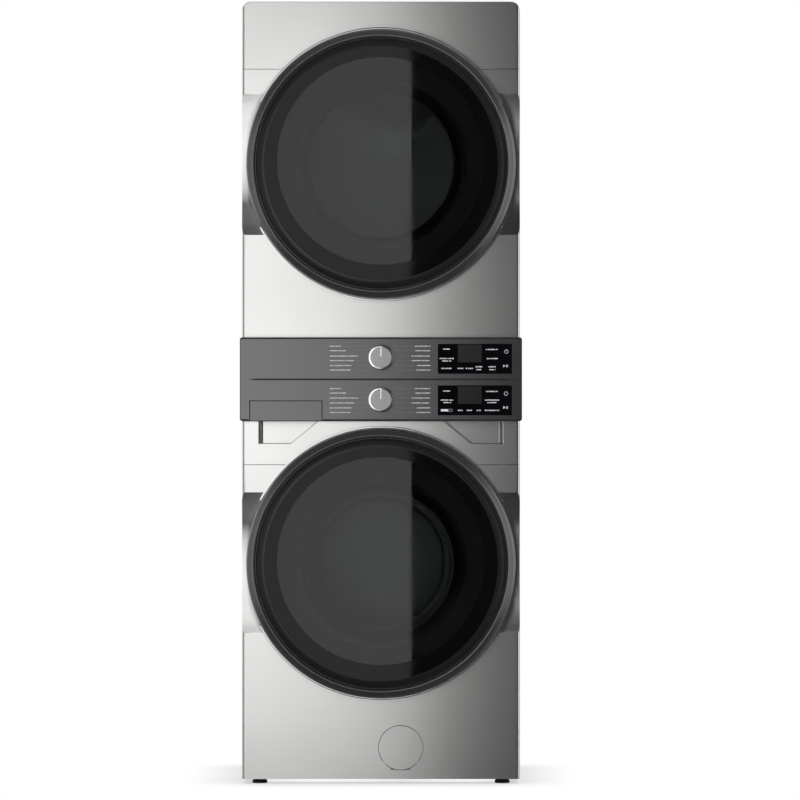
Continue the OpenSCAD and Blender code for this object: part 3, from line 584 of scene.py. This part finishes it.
def door_glass(kind):
    """Flat outer glass: clear smoked window, printed black border, dull rounded rim."""
    node = f"{kind}_door_glass"
    low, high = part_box(node)
    back = Vector((0, high.y, (low.z + high.z) / 2))
    rim = extent(node).z / 2
    thick = high.y - low.y
    window = rim - 52 * MM
    border = rim - 20 * MM
    profile = [(0.0, thick - 6 * MM), (window, thick - 6 * MM), (border - 4 * MM, thick - 6 * MM),
               (rim - 10 * MM, 0.0), (rim, 0.0), (rim, 3.5 * MM)]
    curve = [(rim - 20 * MM * math.sin(math.radians(a)),
              thick - 9.5 * MM * (1 - math.sin(math.radians(a))) ** 1.6) for a in range(4, 91, 7)]
    profile += curve + [(border, thick), (window + 6 * MM, thick), (window, thick), (0.0, thick)]
    dull_end = 6 + len(curve)

    def material_of(k):
        a, b = profile[k], profile[(k + 1) % len(profile)]
        if max(a[0], b[0]) <= window + 1e-6:
            return 2
        return 1 if 5 <= k < dull_end - 1 else 0

    glass = turned(f"{kind}_outer_glass", profile, back, 256, closed=False, material_of=material_of,
                   materials=[MATERIALS["black_glass"], MATT_PRINT, WINDOW])
    for v in glass.data.vertices:
        if math.hypot(v.co.x, v.co.z - back.z) <= window + 1e-5:
            v.co.z += 6 * MM
    return finish_piece(smooth(glass, 40), DOORS[kind], "black_glass", node)


def offset_profile(points, thickness):
    """The same open profile moved sideways by a thickness, towards its left."""
    moved = []
    for i, (x, y) in enumerate(points):
        before, after = points[max(i - 1, 0)], points[min(i + 1, len(points) - 1)]
        dx, dy = after[0] - before[0], after[1] - before[1]
        length = math.hypot(dx, dy)
        moved.append((max(0.0, x - dy / length * thickness), y + dx / length * thickness))
    moved[-1] = (0.0, moved[-1][1]) if points[-1][0] == 0 else moved[-1]
    return moved


def moulded_bowl(kind, node):
    """Pressed inner glass of a door: a deep bowl on the washer, a shallow pane on the dryer."""
    low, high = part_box(node)
    back = Vector((0, low.y + 17 * MM, (low.z + high.z) / 2))
    flange = extent(node).z / 2
    reach = high.y - back.y
    mouth = flange - 24.5 * MM
    corner = min(18 * MM, reach * 0.35)
    side = mouth - 0.17 * reach
    outside = [(mouth, 12 * MM), ((mouth + side) / 2 + 0.02 * reach, (12 * MM - 0.8 * reach) / 2)]
    outside += arc(side - corner, corner * 1.3 - reach, corner, 0, -78, 9)
    outside += [(side * 0.55, -reach * 0.985), (0.0, -reach)]
    inside = offset_profile(outside, -4.5 * MM)
    inside[0] = (mouth - 4.5 * MM, 17 * MM)
    profile = [(flange, 17 * MM), (flange, 12 * MM)] + outside + inside[::-1]
    bowl = turned(f"{kind}_inner_glass", profile, back, 192, materials=[MATERIALS["clear_glass"]])
    return finish_piece(smooth(bowl, 50), DOORS[kind], "clear_glass", node)


for kind in DOORS:
    door_ring(kind)
    door_glass(kind)
    refined(f"{kind}_door_frame", f"{kind}_inner_moulding", 0.8 * MM)
moulded_bowl("washer", "washer_door_bowl")
moulded_bowl("dryer", "dryer_door_window")


# ---- housings and panels

# Node: the piece's name, edge width in mm, least angle in degrees, segments
SOFTENED = {
    "washer_front_panel": ("washer_front_skin", 2.2, 20, 4),
    "washer_fascia": ("washer_fascia_skin", 1.2, 20, 3),
    "dryer_front_panel": ("dryer_front_skin", 2.2, 20, 4),
    "dryer_front_header": ("dryer_top_strip", 1.2, 20, 3),
    "console_panel": ("console_shell", 1.0, 30, 3),
    "washer_cabinet": ("washer_side_wrap", 0.8, 30, 2),
    "dryer_cabinet": ("dryer_side_wrap", 0.8, 30, 2),
    "top_panel": ("top_cover", 1.0, 30, 2),
    "washer_rear_panel": ("washer_back_cover", 1.2, 30, 2),
    "dryer_rear_panel": ("dryer_back_cover", 1.2, 30, 2),
    "detergent_drawer": ("drawer_tray", 0.8, 30, 2),
    "pump_cover": ("filter_cover", 0.5, 30, 2),
    "pump_filter": ("filter_cap_moulding", 0.6, 30, 2),
    "lint_screen": ("lint_screen_frame", 0.6, 30, 2),
    "base_frame": ("base_rails", 1.0, 30, 2),
    "power_inlet": ("power_entry_plate", 0.8, 30, 2),
    "door_hinge_brackets": ("hinge_arms", 0.6, 30, 2),
    "door_latches": ("lock_housings", 0.8, 30, 2),
    "dispenser_housing": ("dispenser_box", 0.8, 30, 2),
    "display_windows": ("display_panes", 0.5, 30, 2),
    "door_gasket": ("door_bellows", 2.0, 40, 3),
    "washer_drum": ("basket_sheet", 0, 30, 1),
    "dryer_drum": ("drum_sheet", 0, 30, 1),
    "dryer_front_bulkhead": ("front_bulkhead_sheet", 0.5, 40, 2),
    "dryer_rear_bulkhead": ("rear_bulkhead_sheet", 0.4, 40, 2),
    "outer_tub": ("tub_moulding", 1.0, 40, 2),
    "counterweight": ("ballast_blocks", 4.0, 40, 3),
    "drain_pump": ("pump_body", 1.0, 40, 2),
    "washer_motor": ("washer_motor_case", 1.5, 40, 3),
    "dryer_motor": ("dryer_motor_case", 1.5, 40, 3),
    "blower_housing": ("blower_scroll", 1.0, 40, 2),
    "heater_box": ("heater_case", 0.6, 40, 2),
    "washer_drum_pulley": ("basket_pulley", 0.8, 40, 2),
    "washer_drum_spider": ("basket_spider", 1.2, 40, 2),
    "centre_deck": ("deck_tray", 0.6, 40, 2),
}
FINISH.update({"washer_drum": WASHER_SHEET, "dryer_drum": DRYER_SHEET})
STEEL_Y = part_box("washer_front_panel")[0].y
CONSOLE_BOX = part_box("console_panel")
FOLDS = {
    "washer_fascia": ((0.298, STEEL_Y, 0.8, 0.9, 8.0 * MM),),
    "console_panel": ((CONSOLE_BOX[1].x, CONSOLE_BOX[0].y, 0.88, 1.1, 4.0 * MM),),
}
for node, (name, width, angle, segments) in SOFTENED.items():
    refined(node, name, width * MM, angle, segments, FOLDS.get(node, ()))

# The drawer's front shows the console finish, its tray the pale moulding
drawer_piece = bpy.data.objects["drawer_tray"]
drawer_piece.data.materials.append(MATERIALS["console_graphite"])
for face in drawer_piece.data.polygons:
    if face.center.y < CONSOLE_BOX[0].y + 10.5 * MM:
        face.material_index = 1

# ---- console details

CONSOLE_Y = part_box("console_panel")[0].y
WINDOW_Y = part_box("display_windows")[0].y
LABELS = {
    "dryer": ((1066, 26, 37), (1055, 41, 36), (1042, 68, 45), (1031, 59, 45), (1019, 52, 32),
              (1008, 51, 34)),
    "washer": ((963, 26, 37), (952, 41, 36), (940, 68, 45), (928, 59, 45), (916, 52, 32),
               (905, 51, 34)),
}
LABEL_LEFT, LABEL_RIGHT = -124, 120
SIGNS = {
    "dryer": ((160, 1059, 18), (160, 1036, 34), (160, 1030, 22), (160, 1012, 26),
              (194, 1012, 15), (215, 1012, 18), (238, 1016, 17), (238, 1009, 12),
              (270, 1058, 29), (271, 1036, 27), (271, 1016, 19), (271, 1009, 15)),
    "washer": ((160, 957, 18), (161, 935, 30), (161, 929, 19), (193, 910, 12),
               (215, 910, 13), (238, 910, 10), (270, 956, 28), (270, 935, 34),
               (270, 929, 22), (270, 910, 35)),
}
ICONS = {"dryer": ((305, 1053), (303, 1018)), "washer": ((304, 951), (303, 917))}
LCD = {"dryer": (187, 245, 1027, 1070), "washer": (187, 245, 926, 968)}
KNOB_RADIUS = extent("dryer_knob").x / 2
INK_THICK = 0.12 * MM
FLUTES = 72
# Outline in mm of the black strip over the dividing groove: painted shade
GROOVE_SHADE_OUTLINE = ((-323, 985.6), (-300, 983.2), (300, 983.2), (331, 984.8), (331, 985.6), (300, 987.4),
           (-300, 987.4))


def dashes(bm, x0, x1, z, height, seed, face):
    """A row of uneven short dashes that stands for small print without being any letter."""
    x = x0
    while x < x1 - 0.8:
        seed = (seed * 7 + 5) % 13
        wide = min(1.3 + 0.22 * seed, x1 - x)
        block(bm, (x * MM, face - INK_THICK, (z - height / 2) * MM),
              ((x + wide) * MM, face, (z + height / 2) * MM))
        x += wide + (2.4 if seed in (4, 9) else 0.9)


def flat_shape(bm, points, face, thick=INK_THICK):
    """A closed outline of (x, z) points in mm, raised a little from a face."""
    back = [bm.verts.new((x * MM, face, z * MM)) for x, z in points]
    front = [bm.verts.new((x * MM, face - thick, z * MM)) for x, z in points]
    bm.faces.new(front)
    bm.faces.new(back[::-1])
    for i in range(len(points)):
        j = (i + 1) % len(points)
        bm.faces.new((front[i], back[i], back[j], front[j]))


def band(bm, cx, cz, radius, wide, start, end, face, count=28):
    """Part of a flat ring."""
    outer = arc(cx, cz, radius, start, end, count)
    inner = arc(cx, cz, radius - wide, start, end, count)
    for i in range(count):
        flat_shape(bm, (outer[i], outer[i + 1], inner[i + 1], inner[i]), face)


def rectangle(bm, x0, x1, z0, z1, face, thick=INK_THICK):
    """A flat rectangle between two corners in mm."""
    flat_shape(bm, ((x0, z0), (x1, z0), (x1, z1), (x0, z1)), face, thick)


def printed(name, bm, material, slot="console_graphite"):
    """Printed marks, which stay with the console."""
    bmesh.ops.recalc_face_normals(bm, faces=bm.faces)
    return finish_piece(as_object(name, bm, material), "cabinet", slot)


def knob(kind):
    """Machined dial with a fluted flank, a polished rim and a white pointer."""
    node = f"{kind}_knob"
    middle = centre(node)
    origin = Vector((middle.x, CONSOLE_Y, middle.z))
    r = KNOB_RADIUS
    profile = [(0, 1 * MM), (r - 0.6 * MM, 1 * MM), (r, 1.6 * MM), (r, 5 * MM), (r, 16.4 * MM)]
    profile += arc(r - 0.9 * MM, 19.7 * MM, 0.9 * MM, 5, 75, 5)
    profile += [(r - 4.2 * MM, 21.2 * MM), (r - 4.7 * MM, 20.6 * MM), (r * 0.6, 20.6 * MM),
                (0, 20.6 * MM)]
    face_from = len(profile) - 3
    dial = turned(f"{kind}_dial_body", profile, origin, 288, closed=False,
                  materials=[spun(f"{kind}_dial_metal", (0.44, 0.44, 0.445), 0.3, origin), POLISHED],
                  material_of=lambda k: 0 if k >= face_from else 1)
    for v in dial.data.vertices:
        ahead = origin.y - v.co.y
        if 4.9 * MM < ahead < 16.5 * MM:
            angle = math.atan2(v.co.z - origin.z, v.co.x - origin.x)
            dip = 1 - 0.014 * (0.5 + 0.5 * math.cos(angle * FLUTES))
            v.co.x = origin.x + (v.co.x - origin.x) * dip
            v.co.z = origin.z + (v.co.z - origin.z) * dip
    finish_piece(smooth(dial, 30), f"{kind}_dial", "knob_metal", node)
    bm = bmesh.new()
    top = origin.z / MM + r / MM
    flat_shape(bm, ((-1.4, top - 5.0), (-1.4, top - 27), (-0.8, top - 27.8), (0.8, top - 27.8),
                    (1.4, top - 27), (1.4, top - 5.0)), origin.y - 20.6 * MM, 0.3 * MM)
    bmesh.ops.recalc_face_normals(bm, faces=bm.faces)
    finish_piece(as_object(f"{kind}_dial_pointer", bm, POINTER_METAL), f"{kind}_dial", "knob_metal")
    # Dark foot ring between the dial and the console
    outline = [(8 * MM, 0), (r + 0.5 * MM, 0), (r + 0.3 * MM, 0.7 * MM), (8 * MM, 0.9 * MM)]
    skirt = turned(f"{kind}_dial_skirt", outline, origin, 96, materials=[MATERIALS["black_moulding"]])
    finish_piece(smooth(skirt, 30), "cabinet", "black_moulding")


def console_print(kind):
    """Programme marks beside a dial, and the lit marks behind the display glass."""
    bm = bmesh.new()
    for k, (z, left, right) in enumerate(LABELS[kind]):
        dashes(bm, LABEL_LEFT, LABEL_LEFT + left, z, 2.5, k + 2, CONSOLE_Y)
        dashes(bm, LABEL_RIGHT - right, LABEL_RIGHT, z, 2.5, k + 6, CONSOLE_Y)
    printed(f"{kind}_programme_marks", bm, WHITE_INK)
    bm = bmesh.new()
    dial_z = centre(f"{kind}_knob").z / MM
    half_line = 0.22
    for k, (z, left, right) in enumerate(LABELS[kind]):
        turn = math.radians(50 - 20 * k)
        for side, start in ((-1, LABEL_LEFT + left + 3), (1, LABEL_RIGHT - right - 3)):
            inner = (side * 35 * math.cos(turn), dial_z + 35 * math.sin(turn))
            knee = (side * 43 * math.cos(turn * 0.9), z)
            for a, b in ((inner, knee), (knee, (start, z))):
                if side * (b[0] - a[0]) <= 0.5:
                    continue
                line = ((a[0], a[1] - half_line), (b[0], b[1] - half_line),
                        (b[0], b[1] + half_line), (a[0], a[1] + half_line))
                flat_shape(bm, line, CONSOLE_Y, 0.08 * MM)
    printed(f"{kind}_leader_lines", bm, PALE_INK)
    bm = bmesh.new()
    rectangle(bm, *LCD[kind], WINDOW_Y, 0.05 * MM)
    printed(f"{kind}_display_field", bm, LCD_FIELD, "black_glass")
    bm = bmesh.new()
    for k, (x, z, wide) in enumerate(SIGNS[kind]):
        dashes(bm, x - wide / 2, x + wide / 2, z, 2.6, k + 3, WINDOW_Y)
    (px, pz), (sx, sz) = ICONS[kind]
    band(bm, px, pz, 4.9, 0.9, 115, 425, WINDOW_Y)
    rectangle(bm, px - 0.45, px + 0.45, pz + 1.2, pz + 5.6, WINDOW_Y)
    flat_shape(bm, ((sx - 5.6, sz - 3.4), (sx - 0.4, sz), (sx - 5.6, sz + 3.4)), WINDOW_Y)
    for dx in (1.4, 4.2):
        rectangle(bm, sx + dx, sx + dx + 1.3, sz - 3.2, sz + 3.2, WINDOW_Y)
    if kind == "washer":
        # Level bar: a filled part and the outline of the rest
        for x0, x1, z0, z1 in ((145.8, 163.6, 907.4, 913.0), (164.2, 173.4, 907.4, 907.8),
                               (164.2, 173.4, 912.6, 913.0), (173.0, 173.4, 907.8, 912.6)):
            rectangle(bm, x0, x1, z0, z1, WINDOW_Y)
    printed(f"{kind}_display_marks", bm, LCD_INK, "black_glass")


def console_outline():
    """Black strip round the console face that stands for its shadow gap (painted shade), open where the
    drawer slides through.
    """
    low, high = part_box("console_panel")
    x0, x1, z0, z1 = low.x / MM, high.x / MM, low.z / MM, high.z / MM

    def loop(dx, dz, r):
        points = []
        for cx, cz, start in ((x1 - dx - r, z1 - dz - r, 0), (x0 + dx + r, z1 - dz - r, 90),
                              (x0 + dx + r, z0 + dz + r, 180), (x1 - dx - r, z0 + dz + r, 270)):
            points += arc(cx, cz, r, start, start + 90, 8)
        return points

    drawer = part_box("detergent_drawer")
    left, right = drawer[0].x / MM - 2.2, drawer[1].x / MM + 2.2
    outer, inner = loop(0.2, 0.2, 5.8), loop(1.6, 4.4, 4.2)
    bm = bmesh.new()
    for i in range(len(outer)):
        j = (i + 1) % len(outer)
        if abs(outer[i][1] - outer[j][1]) < 0.01 and outer[i][1] < z0 + 1:
            a, b, c, d = outer[i], outer[j], inner[j], inner[i]
            flat_shape(bm, (a, (left, a[1]), (left, d[1]), d), CONSOLE_Y, 0.2 * MM)
            flat_shape(bm, ((right, a[1]), b, c, (right, c[1])), CONSOLE_Y, 0.2 * MM)
            continue
        flat_shape(bm, (outer[i], outer[j], inner[j], inner[i]), CONSOLE_Y, 0.2 * MM)
    # Black strip standing for the shadow gap round the face: painted shade
    printed("console_shadow_gap_strip", bm, MATERIALS["black_moulding"])
    # Black strip over the dividing groove, a painted shade for its shadow, tapered at both ends
    bm = bmesh.new()
    flat_shape(bm, GROOVE_SHADE_OUTLINE, CONSOLE_Y, 0.1 * MM)
    printed("console_groove_shade_strip", bm, MATERIALS["black_moulding"])


for kind in DOORS:
    knob(kind)
    console_print(kind)
console_outline()

# ---- feet, screws and connections


def thread(radius, start, end, pitch, depth):
    """Profile points of a ridged thread between two distances."""
    points = []
    count = int((end - start) / pitch)
    for i in range(count):
        at = start + (end - start) * i / count
        points += [(radius - depth, at), (radius, at + pitch * 0.35), (radius, at + pitch * 0.6)]
    return points + [(radius - depth, end)]


def levelling_foot(node):
    """Rubber pad with a ribbed rim, a hexagon and a threaded stem."""
    low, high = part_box(node)
    middle = (low + high) / 2
    origin = Vector((middle.x, middle.y, low.z))
    r = extent(node).x / 2
    tall = high.z - low.z
    rim = r / MM
    profile = metres(((0, 0), (rim - 1.6, 0), (rim - 0.4, 0.5), (rim, 1.6), (rim, 5.4), (rim - 0.8, 6.6),
                      (rim - 3.2, 9.3), (rim - 4.4, 9.5), (0, 9.5)))
    pad = turned(f"{node}_pad", profile, origin, 144, closed=False, upright=True,
                 materials=[MATERIALS["foot_rubber"]])
    for v in pad.data.vertices:
        rise = v.co.z - origin.z
        if 1.5 * MM < rise < 5.5 * MM:
            angle = math.atan2(v.co.y - origin.y, v.co.x - origin.x)
            dip = 1 - 0.03 * (math.cos(angle * 24) > 0.3)
            v.co.x = origin.x + (v.co.x - origin.x) * dip
            v.co.y = origin.y + (v.co.y - origin.y) * dip
    finish_piece(smooth(pad, 30), BODY_OF[node], "foot_rubber", node)
    ridges = thread(6 * MM, 9.2 * MM, tall - 0.6 * MM, 1.5 * MM, 0.7 * MM)
    stem = turned(f"{node}_stem", [(0, 9 * MM)] + ridges + [(0, tall - 0.2 * MM)], origin, 64,
                  closed=False, upright=True, materials=[MATERIALS["zinc_fastener"]])
    finish_piece(smooth(stem, 30), BODY_OF[node], "zinc_fastener")
    nut = turned(f"{node}_hexagon", metres(((5.4, 9.5), (9.9, 9.5), (9.9, 11.5), (9.2, 12), (5.4, 12))),
                 origin, 6, upright=True, materials=[MATERIALS["zinc_fastener"]])
    finish_piece(nut, BODY_OF[node], "zinc_fastener")


# In mm: distance from the middle plane and heights, for the lower and the upper cover
SCREW_PLACES = ((258, (150, 460, 780)), (278, (1230, 1515, 1800)))
# Where the hoses and the exhaust leave the back, in metres
HOSE_Z = 0.905
COLD_X, HOT_X, DRAIN_X = -0.26, -0.2, -0.12
EXHAUST_X, EXHAUST_Z = 0.225, 1.062


def back_screws():
    """Pan head screws with a cross recess along the rear covers."""
    head_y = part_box("cabinet_screws")[1].y
    profile = metres(((0, 0), (1.6, 0.05), (3.0, 0.5), (3.8, 1.3), (4, 2.4), (2.2, 2.5), (2.2, 8.2),
                      (0, 8.4)))
    shape = turned("screw_shape", profile, Vector((0, 0, 0)), 40, closed=False,
                   materials=[MATERIALS["zinc_fastener"]])
    for a, b in ((2.2, 0.45), (0.45, 2.2)):
        cut(shape, Vector((-a, -1.3, -b)) * MM, Vector((a, 0.5, b)) * MM)
    bm = bmesh.new()
    for x, zs in SCREW_PLACES:
        for side in (-1, 1):
            for z in zs:
                start = len(bm.verts)
                bm.from_mesh(shape.data)
                bm.verts.ensure_lookup_table()
                for v in bm.verts[start:]:
                    v.co += Vector((side * x * MM, head_y, z * MM))
    bpy.data.objects.remove(shape)
    screws = as_object("rear_screws", bm, MATERIALS["zinc_fastener"])
    finish_piece(smooth(screws, 30), "cabinet", "zinc_fastener", "cabinet_screws")


def hose_connections():
    """Threaded hot and cold inlets with coloured collars and a barbed drain spigot."""
    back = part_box("inlet_valves")[1].y
    for name, x, collar in (("cold", COLD_X, COLD_COLLAR), ("hot", HOT_X, HOT_COLLAR)):
        origin = Vector((x, back, HOSE_Z))
        profile = metres(((0, 9), (8.2, 9), (8.4, 1), (9.4, 0), (12.2, 0)))
        profile += thread(13.45 * MM, 0.6 * MM, 20 * MM, 1.8 * MM, 1.0 * MM)
        profile += metres(((13.4, 21), (13.4, 30.6), (18, 30.6), (18, 72), (17, 74), (0, 74)))
        body = turned(f"{name}_inlet_body", profile, origin, 96, closed=False,
                      materials=[MATERIALS["white_moulding"]])
        finish_piece(smooth(body, 30), "cabinet", "white_moulding", "inlet_valves")
        profile = metres(((13.4, 21.4), (14.9, 21.4), (15.2, 21.8), (15.2, 23.3), (14.9, 23.7),
                          (13.4, 23.7)))
        ring = turned(f"{name}_inlet_collar", profile, origin, 96, materials=[collar])
        finish_piece(smooth(ring, 30), "cabinet", "white_moulding")
    origin = Vector((DRAIN_X, back, HOSE_Z))
    profile = metres(((11.5, 0), (13.2, 0), (14.5, 4.5), (13.4, 4.8), (14.5, 9.4), (13.4, 9.7),
                      (14.3, 14.2), (13.4, 14.5), (13.4, 30.2), (20.5, 30.4), (20.5, 43.6),
                      (11.5, 44)))
    spigot = turned("drain_spigot_barbed", profile, origin, 96, materials=[MATERIALS["black_moulding"]])
    finish_piece(smooth(spigot, 30), "cabinet", "black_moulding", "inlet_valves")


def exhaust_pipe():
    """Rolled steel duct with two stiffening beads and a folded end."""
    low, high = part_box("exhaust_duct")
    origin = Vector((EXHAUST_X, high.y, EXHAUST_Z))
    r = 50.8 * MM
    profile = [(r - 1.0 * MM, 0.4 * MM), (r - 0.6 * MM, 0), (r - 0.2 * MM, 0), (r, 0.5 * MM), (r, 5 * MM)]
    for at in (8, 15):
        profile += [(r - 0.7 * MM, (at - 0.8) * MM), (r - 0.7 * MM, (at + 0.8) * MM), (r, (at + 2) * MM)]
    profile += [(r, 22 * MM), (r + 10 * MM, 22 * MM), (r + 10 * MM, 24 * MM), (r, 24.2 * MM),
                (r, high.y - low.y), (r - 1 * MM, high.y - low.y)]
    pipe = turned("exhaust_collar_pipe", profile, origin, 128, materials=[MATERIALS["galvanised"]])
    finish_piece(smooth(pipe, 24), "cabinet", "galvanised", "exhaust_duct")


def pressed_ribs(kind):
    """Raised stiffening ribs across a rear cover, softly rounded."""
    low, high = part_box(f"{kind}_rear_panel")
    face = high.y
    half = high.x - 70 * MM
    count = 5 if kind == "washer" else 4
    bottom = low.z + (150 if kind == "dryer" else 60) * MM
    bm = bmesh.new()
    for k in range(count):
        z = bottom + (high.z - 60 * MM - bottom) * (k + 0.5) / count
        rows = []
        upper = ((0.0, 13), (1.2, 11.5), (2.4, 8.5), (3.0, 5))
        for lift, rise in upper + tuple((lift, -rise) for lift, rise in upper[::-1]):
            cap = half - lift * 3 * MM
            rows.append([bm.verts.new((x, face + lift * MM, z + rise * MM))
                         for x in (-cap, -half / 2, 0, half / 2, cap)])
        for a, b in zip(rows, rows[1:]):
            for i in range(4):
                bm.faces.new((a[i], a[i + 1], b[i + 1], b[i]))
        for end in (0, 4):
            bm.faces.new([row[end] for row in rows])
        bm.faces.new(rows[0] + rows[-1][::-1])
    bmesh.ops.recalc_face_normals(bm, faces=bm.faces)
    ribs = as_object(f"{kind}_rear_ribs", bm, MATERIALS["galvanised"])
    finish_piece(smooth(ribs, 50), "cabinet", "galvanised")


def recess_walls():
    """Sloped outer walls of the two finger recesses under the console."""
    face, floor_y = STEEL_Y + 1.2 * MM, STEEL_Y + 25.6 * MM
    top = CONSOLE_BOX[0].z - 0.4 * MM
    bottom = 829.4 * MM
    outer = 298.4
    for side, name in ((-1, "left"), (1, "right")):
        rows = []
        for k in range(9):
            t = k / 8
            lean = outer - 0.4 - 10.5 * t + 2.2 * math.sin(math.pi * t) * (0.5 - t)
            rows.append((side * lean * MM, face + (floor_y - face) * t))
        rows += [(side * outer * MM, floor_y), (side * outer * MM, face)]
        bm = bmesh.new()
        low = [bm.verts.new((x, y, bottom)) for x, y in rows]
        high = [bm.verts.new((x, y, top)) for x, y in rows]
        for i in range(len(rows)):
            j = (i + 1) % len(rows)
            bm.faces.new((low[i], low[j], high[j], high[i]))
        bm.faces.new(low)
        bm.faces.new(high[::-1])
        bmesh.ops.recalc_face_normals(bm, faces=bm.faces)
        wall = as_object(f"recess_wall_{name}", bm, MATERIALS["brushed_front"])
        finish_piece(smooth(wall, 40), "cabinet", "brushed_front")


def rolled_lip(kind):
    """Rolled edge of the steel where the door ring sits; its real shine is helped by a painted highlight,
    as its steel is a lighter copy of the front steel.
    """
    node = f"{kind}_door_ring"
    middle = centre(node)
    r = extent(node).z / 2
    origin = Vector((0, STEEL_Y, middle.z))
    profile = [(r + wide * MM, ahead * MM)
               for wide, ahead in ((1.2, -1.0), (1.2, 2.4), (4.2, 3.15), (6.1, 2.4), (6.3, -1.0))]
    lip = turned(f"{kind}_rolled_lip", profile, origin, 256, materials=[LIP_HIGHLIGHT_METAL])
    for rise in (-HINGE_RISE, HINGE_RISE):
        cut(lip, Vector((-345 * MM, STEEL_Y - 20 * MM, middle.z + rise - 24 * MM)),
            Vector((-200 * MM, STEEL_Y + 20 * MM, middle.z + rise + 24 * MM)))
    for left, right in ((-345, -294), (294, 345)):
        cut(lip, Vector((left * MM, STEEL_Y - 20 * MM, middle.z - 170 * MM)),
            Vector((right * MM, STEEL_Y + 20 * MM, middle.z + 170 * MM)))
    finish_piece(smooth(lip, 40), "cabinet", "brushed_front")


recess_walls()
for kind in DOORS:
    rolled_lip(kind)
for place in ("front_left", "front_right", "rear_left", "rear_right"):
    levelling_foot(f"foot_{place}")
for kind in DOORS:
    pressed_ribs(kind)
back_screws()
hose_connections()
exhaust_pipe()

# Every other CAD node keeps its shape and takes a finish
shown = {n for thing in bpy.data.objects for n in thing.get("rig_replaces", [])}
for node, thing in NODES.items():
    if node in shown:
        continue
    thing.data.materials.clear()
    thing.data.materials.append(MATERIALS[SLOT_OF[node]])


# ---- stage, light and camera


def by_eye(tree, others, seen, out):
    """The eye meets one shader; reflections and light meet the other."""
    path = tree.nodes.new("ShaderNodeLightPath")
    mix = tree.nodes.new("ShaderNodeMixShader")
    feeds = path.outputs["Is Camera Ray"], others.outputs[0], seen.outputs[0]
    for socket, value in zip(mix.inputs, feeds):
        tree.links.new(value, socket)
    tree.links.new(mix.outputs[0], out.inputs["Surface"])


def stage_plane():
    """White floor that melts into the surroundings; only near the tower does it darken, by painted shade
    from ambient occlusion.
    """
    bm = bmesh.new()
    bmesh.ops.create_grid(bm, x_segments=2, y_segments=2, size=14.0)
    floor = as_object("floor", bm)
    shader = Shader("pale_floor", base_color=(0.92, 0.92, 0.92), roughness=0.8, specular_ior_level=0.0)
    cloud = shader.noise(1.5, detail=2.0)
    shader.link(shader.tint(cloud, (0.9, 0.9, 0.9), (0.93, 0.93, 0.93)), "Base Color")
    shade = shader.node("ShaderNodeAmbientOcclusion", Distance=0.16, samples=16)
    # Ambient occlusion dims the floor's glow near the tower: painted shade
    painted_shade_strength = shader.spread(shade.outputs["AO"], 0.62, 1.0, 0.2, 0.98)
    clear = shader.node("ShaderNodeEmission", Strength=painted_shade_strength, Color=(1, 1, 1, 1))
    by_eye(shader.tree, shader.bsdf, clear, shader.tree.nodes["Material Output"])
    floor.data.materials.append(shader.material)
    floor.visible_glossy = False


def softbox(name, place, target, width, height, radiance, mirrored=True):
    """A rectangular lamp of a given brightness that faces a point."""
    lamp = bpy.data.lights.new(name, "AREA")
    lamp.shape = "RECTANGLE"
    lamp.size = width
    lamp.size_y = height
    lamp.energy = radiance * math.pi * width * height
    made = add_object(name, lamp)
    made.location = place
    made.rotation_euler = (Vector(target) - Vector(place)).to_track_quat("-Z", "Y").to_euler()
    made.visible_glossy = mirrored
    made.visible_camera = False


def studio():
    """White surroundings for the eye, soft grey ones for reflections, and softboxes."""
    world = bpy.data.worlds.new("studio")
    bpy.context.scene.world = world
    world.use_nodes = True
    tree = world.node_tree
    tree.nodes.clear()
    coords = add_node(tree, "ShaderNodeTexCoord")
    parts = add_node(tree, "ShaderNodeSeparateXYZ", Vector=coords.outputs["Generated"])
    glow = add_range(tree, parts.outputs["Y"], 0.02, 0.6, -0.2, 0.7)
    lit = add_node(tree, "ShaderNodeBackground", Color=(1, 1, 1, 1), Strength=glow)
    seen = add_node(tree, "ShaderNodeBackground", Color=(1, 1, 1, 1))
    by_eye(tree, lit, seen, add_node(tree, "ShaderNodeOutputWorld"))
    softbox("key_softbox", (-1.12, -3.22, 1.05), (-1.12, 0, 1.05), 2.4, 2.6, 1.3)
    softbox("fill_softbox", (1.36, -3.4, 0.7), (1.36, 0, 0.7), 2.16, 4.2, 0.03)
    softbox("side_softbox", (-4.0, -1.4, 1.0), (0, -0.2, 1.0), 2.6, 4.0, 0.5)
    softbox("top_softbox", (0, -0.4, 4.4), (0, 0, 0), 4.0, 4.0, 2.4, mirrored=False)
    softbox("left_softbox", (-4.0, 2.6, 1.6), (0, 0.2, 1.0), 2.4, 3.2, 1.0)
    softbox("right_softbox", (4.2, -0.6, 1.3), (0, 0, 1.0), 1.2, 3.8, 1.6)
    softbox("edge_softbox", (3.4, -1.9, 1.0), (0.34, -0.35, 1.0), 1.4, 4.0, 0.6)
    softbox("back_softbox", (0.8, 5.0, 2.2), (0, 0, 0.9), 3.2, 3.0, 0.9)


def camera():
    """Straight-on view at the height of the console."""
    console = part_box("console_panel")
    distance, view_width = 14.0, 1.9444
    lens = bpy.data.cameras.new("camera")
    lens.sensor_width = 36
    lens.lens = lens.sensor_width * distance / view_width
    made = add_object("camera", lens)
    made.location = (46.4 * MM, console[0].y - distance, 935.2 * MM)
    made.rotation_euler = (math.pi / 2, 0, 0)
    bpy.context.scene.camera = made


stage_plane()
studio()
camera()
bpy.context.scene.view_settings.view_transform = "Standard"
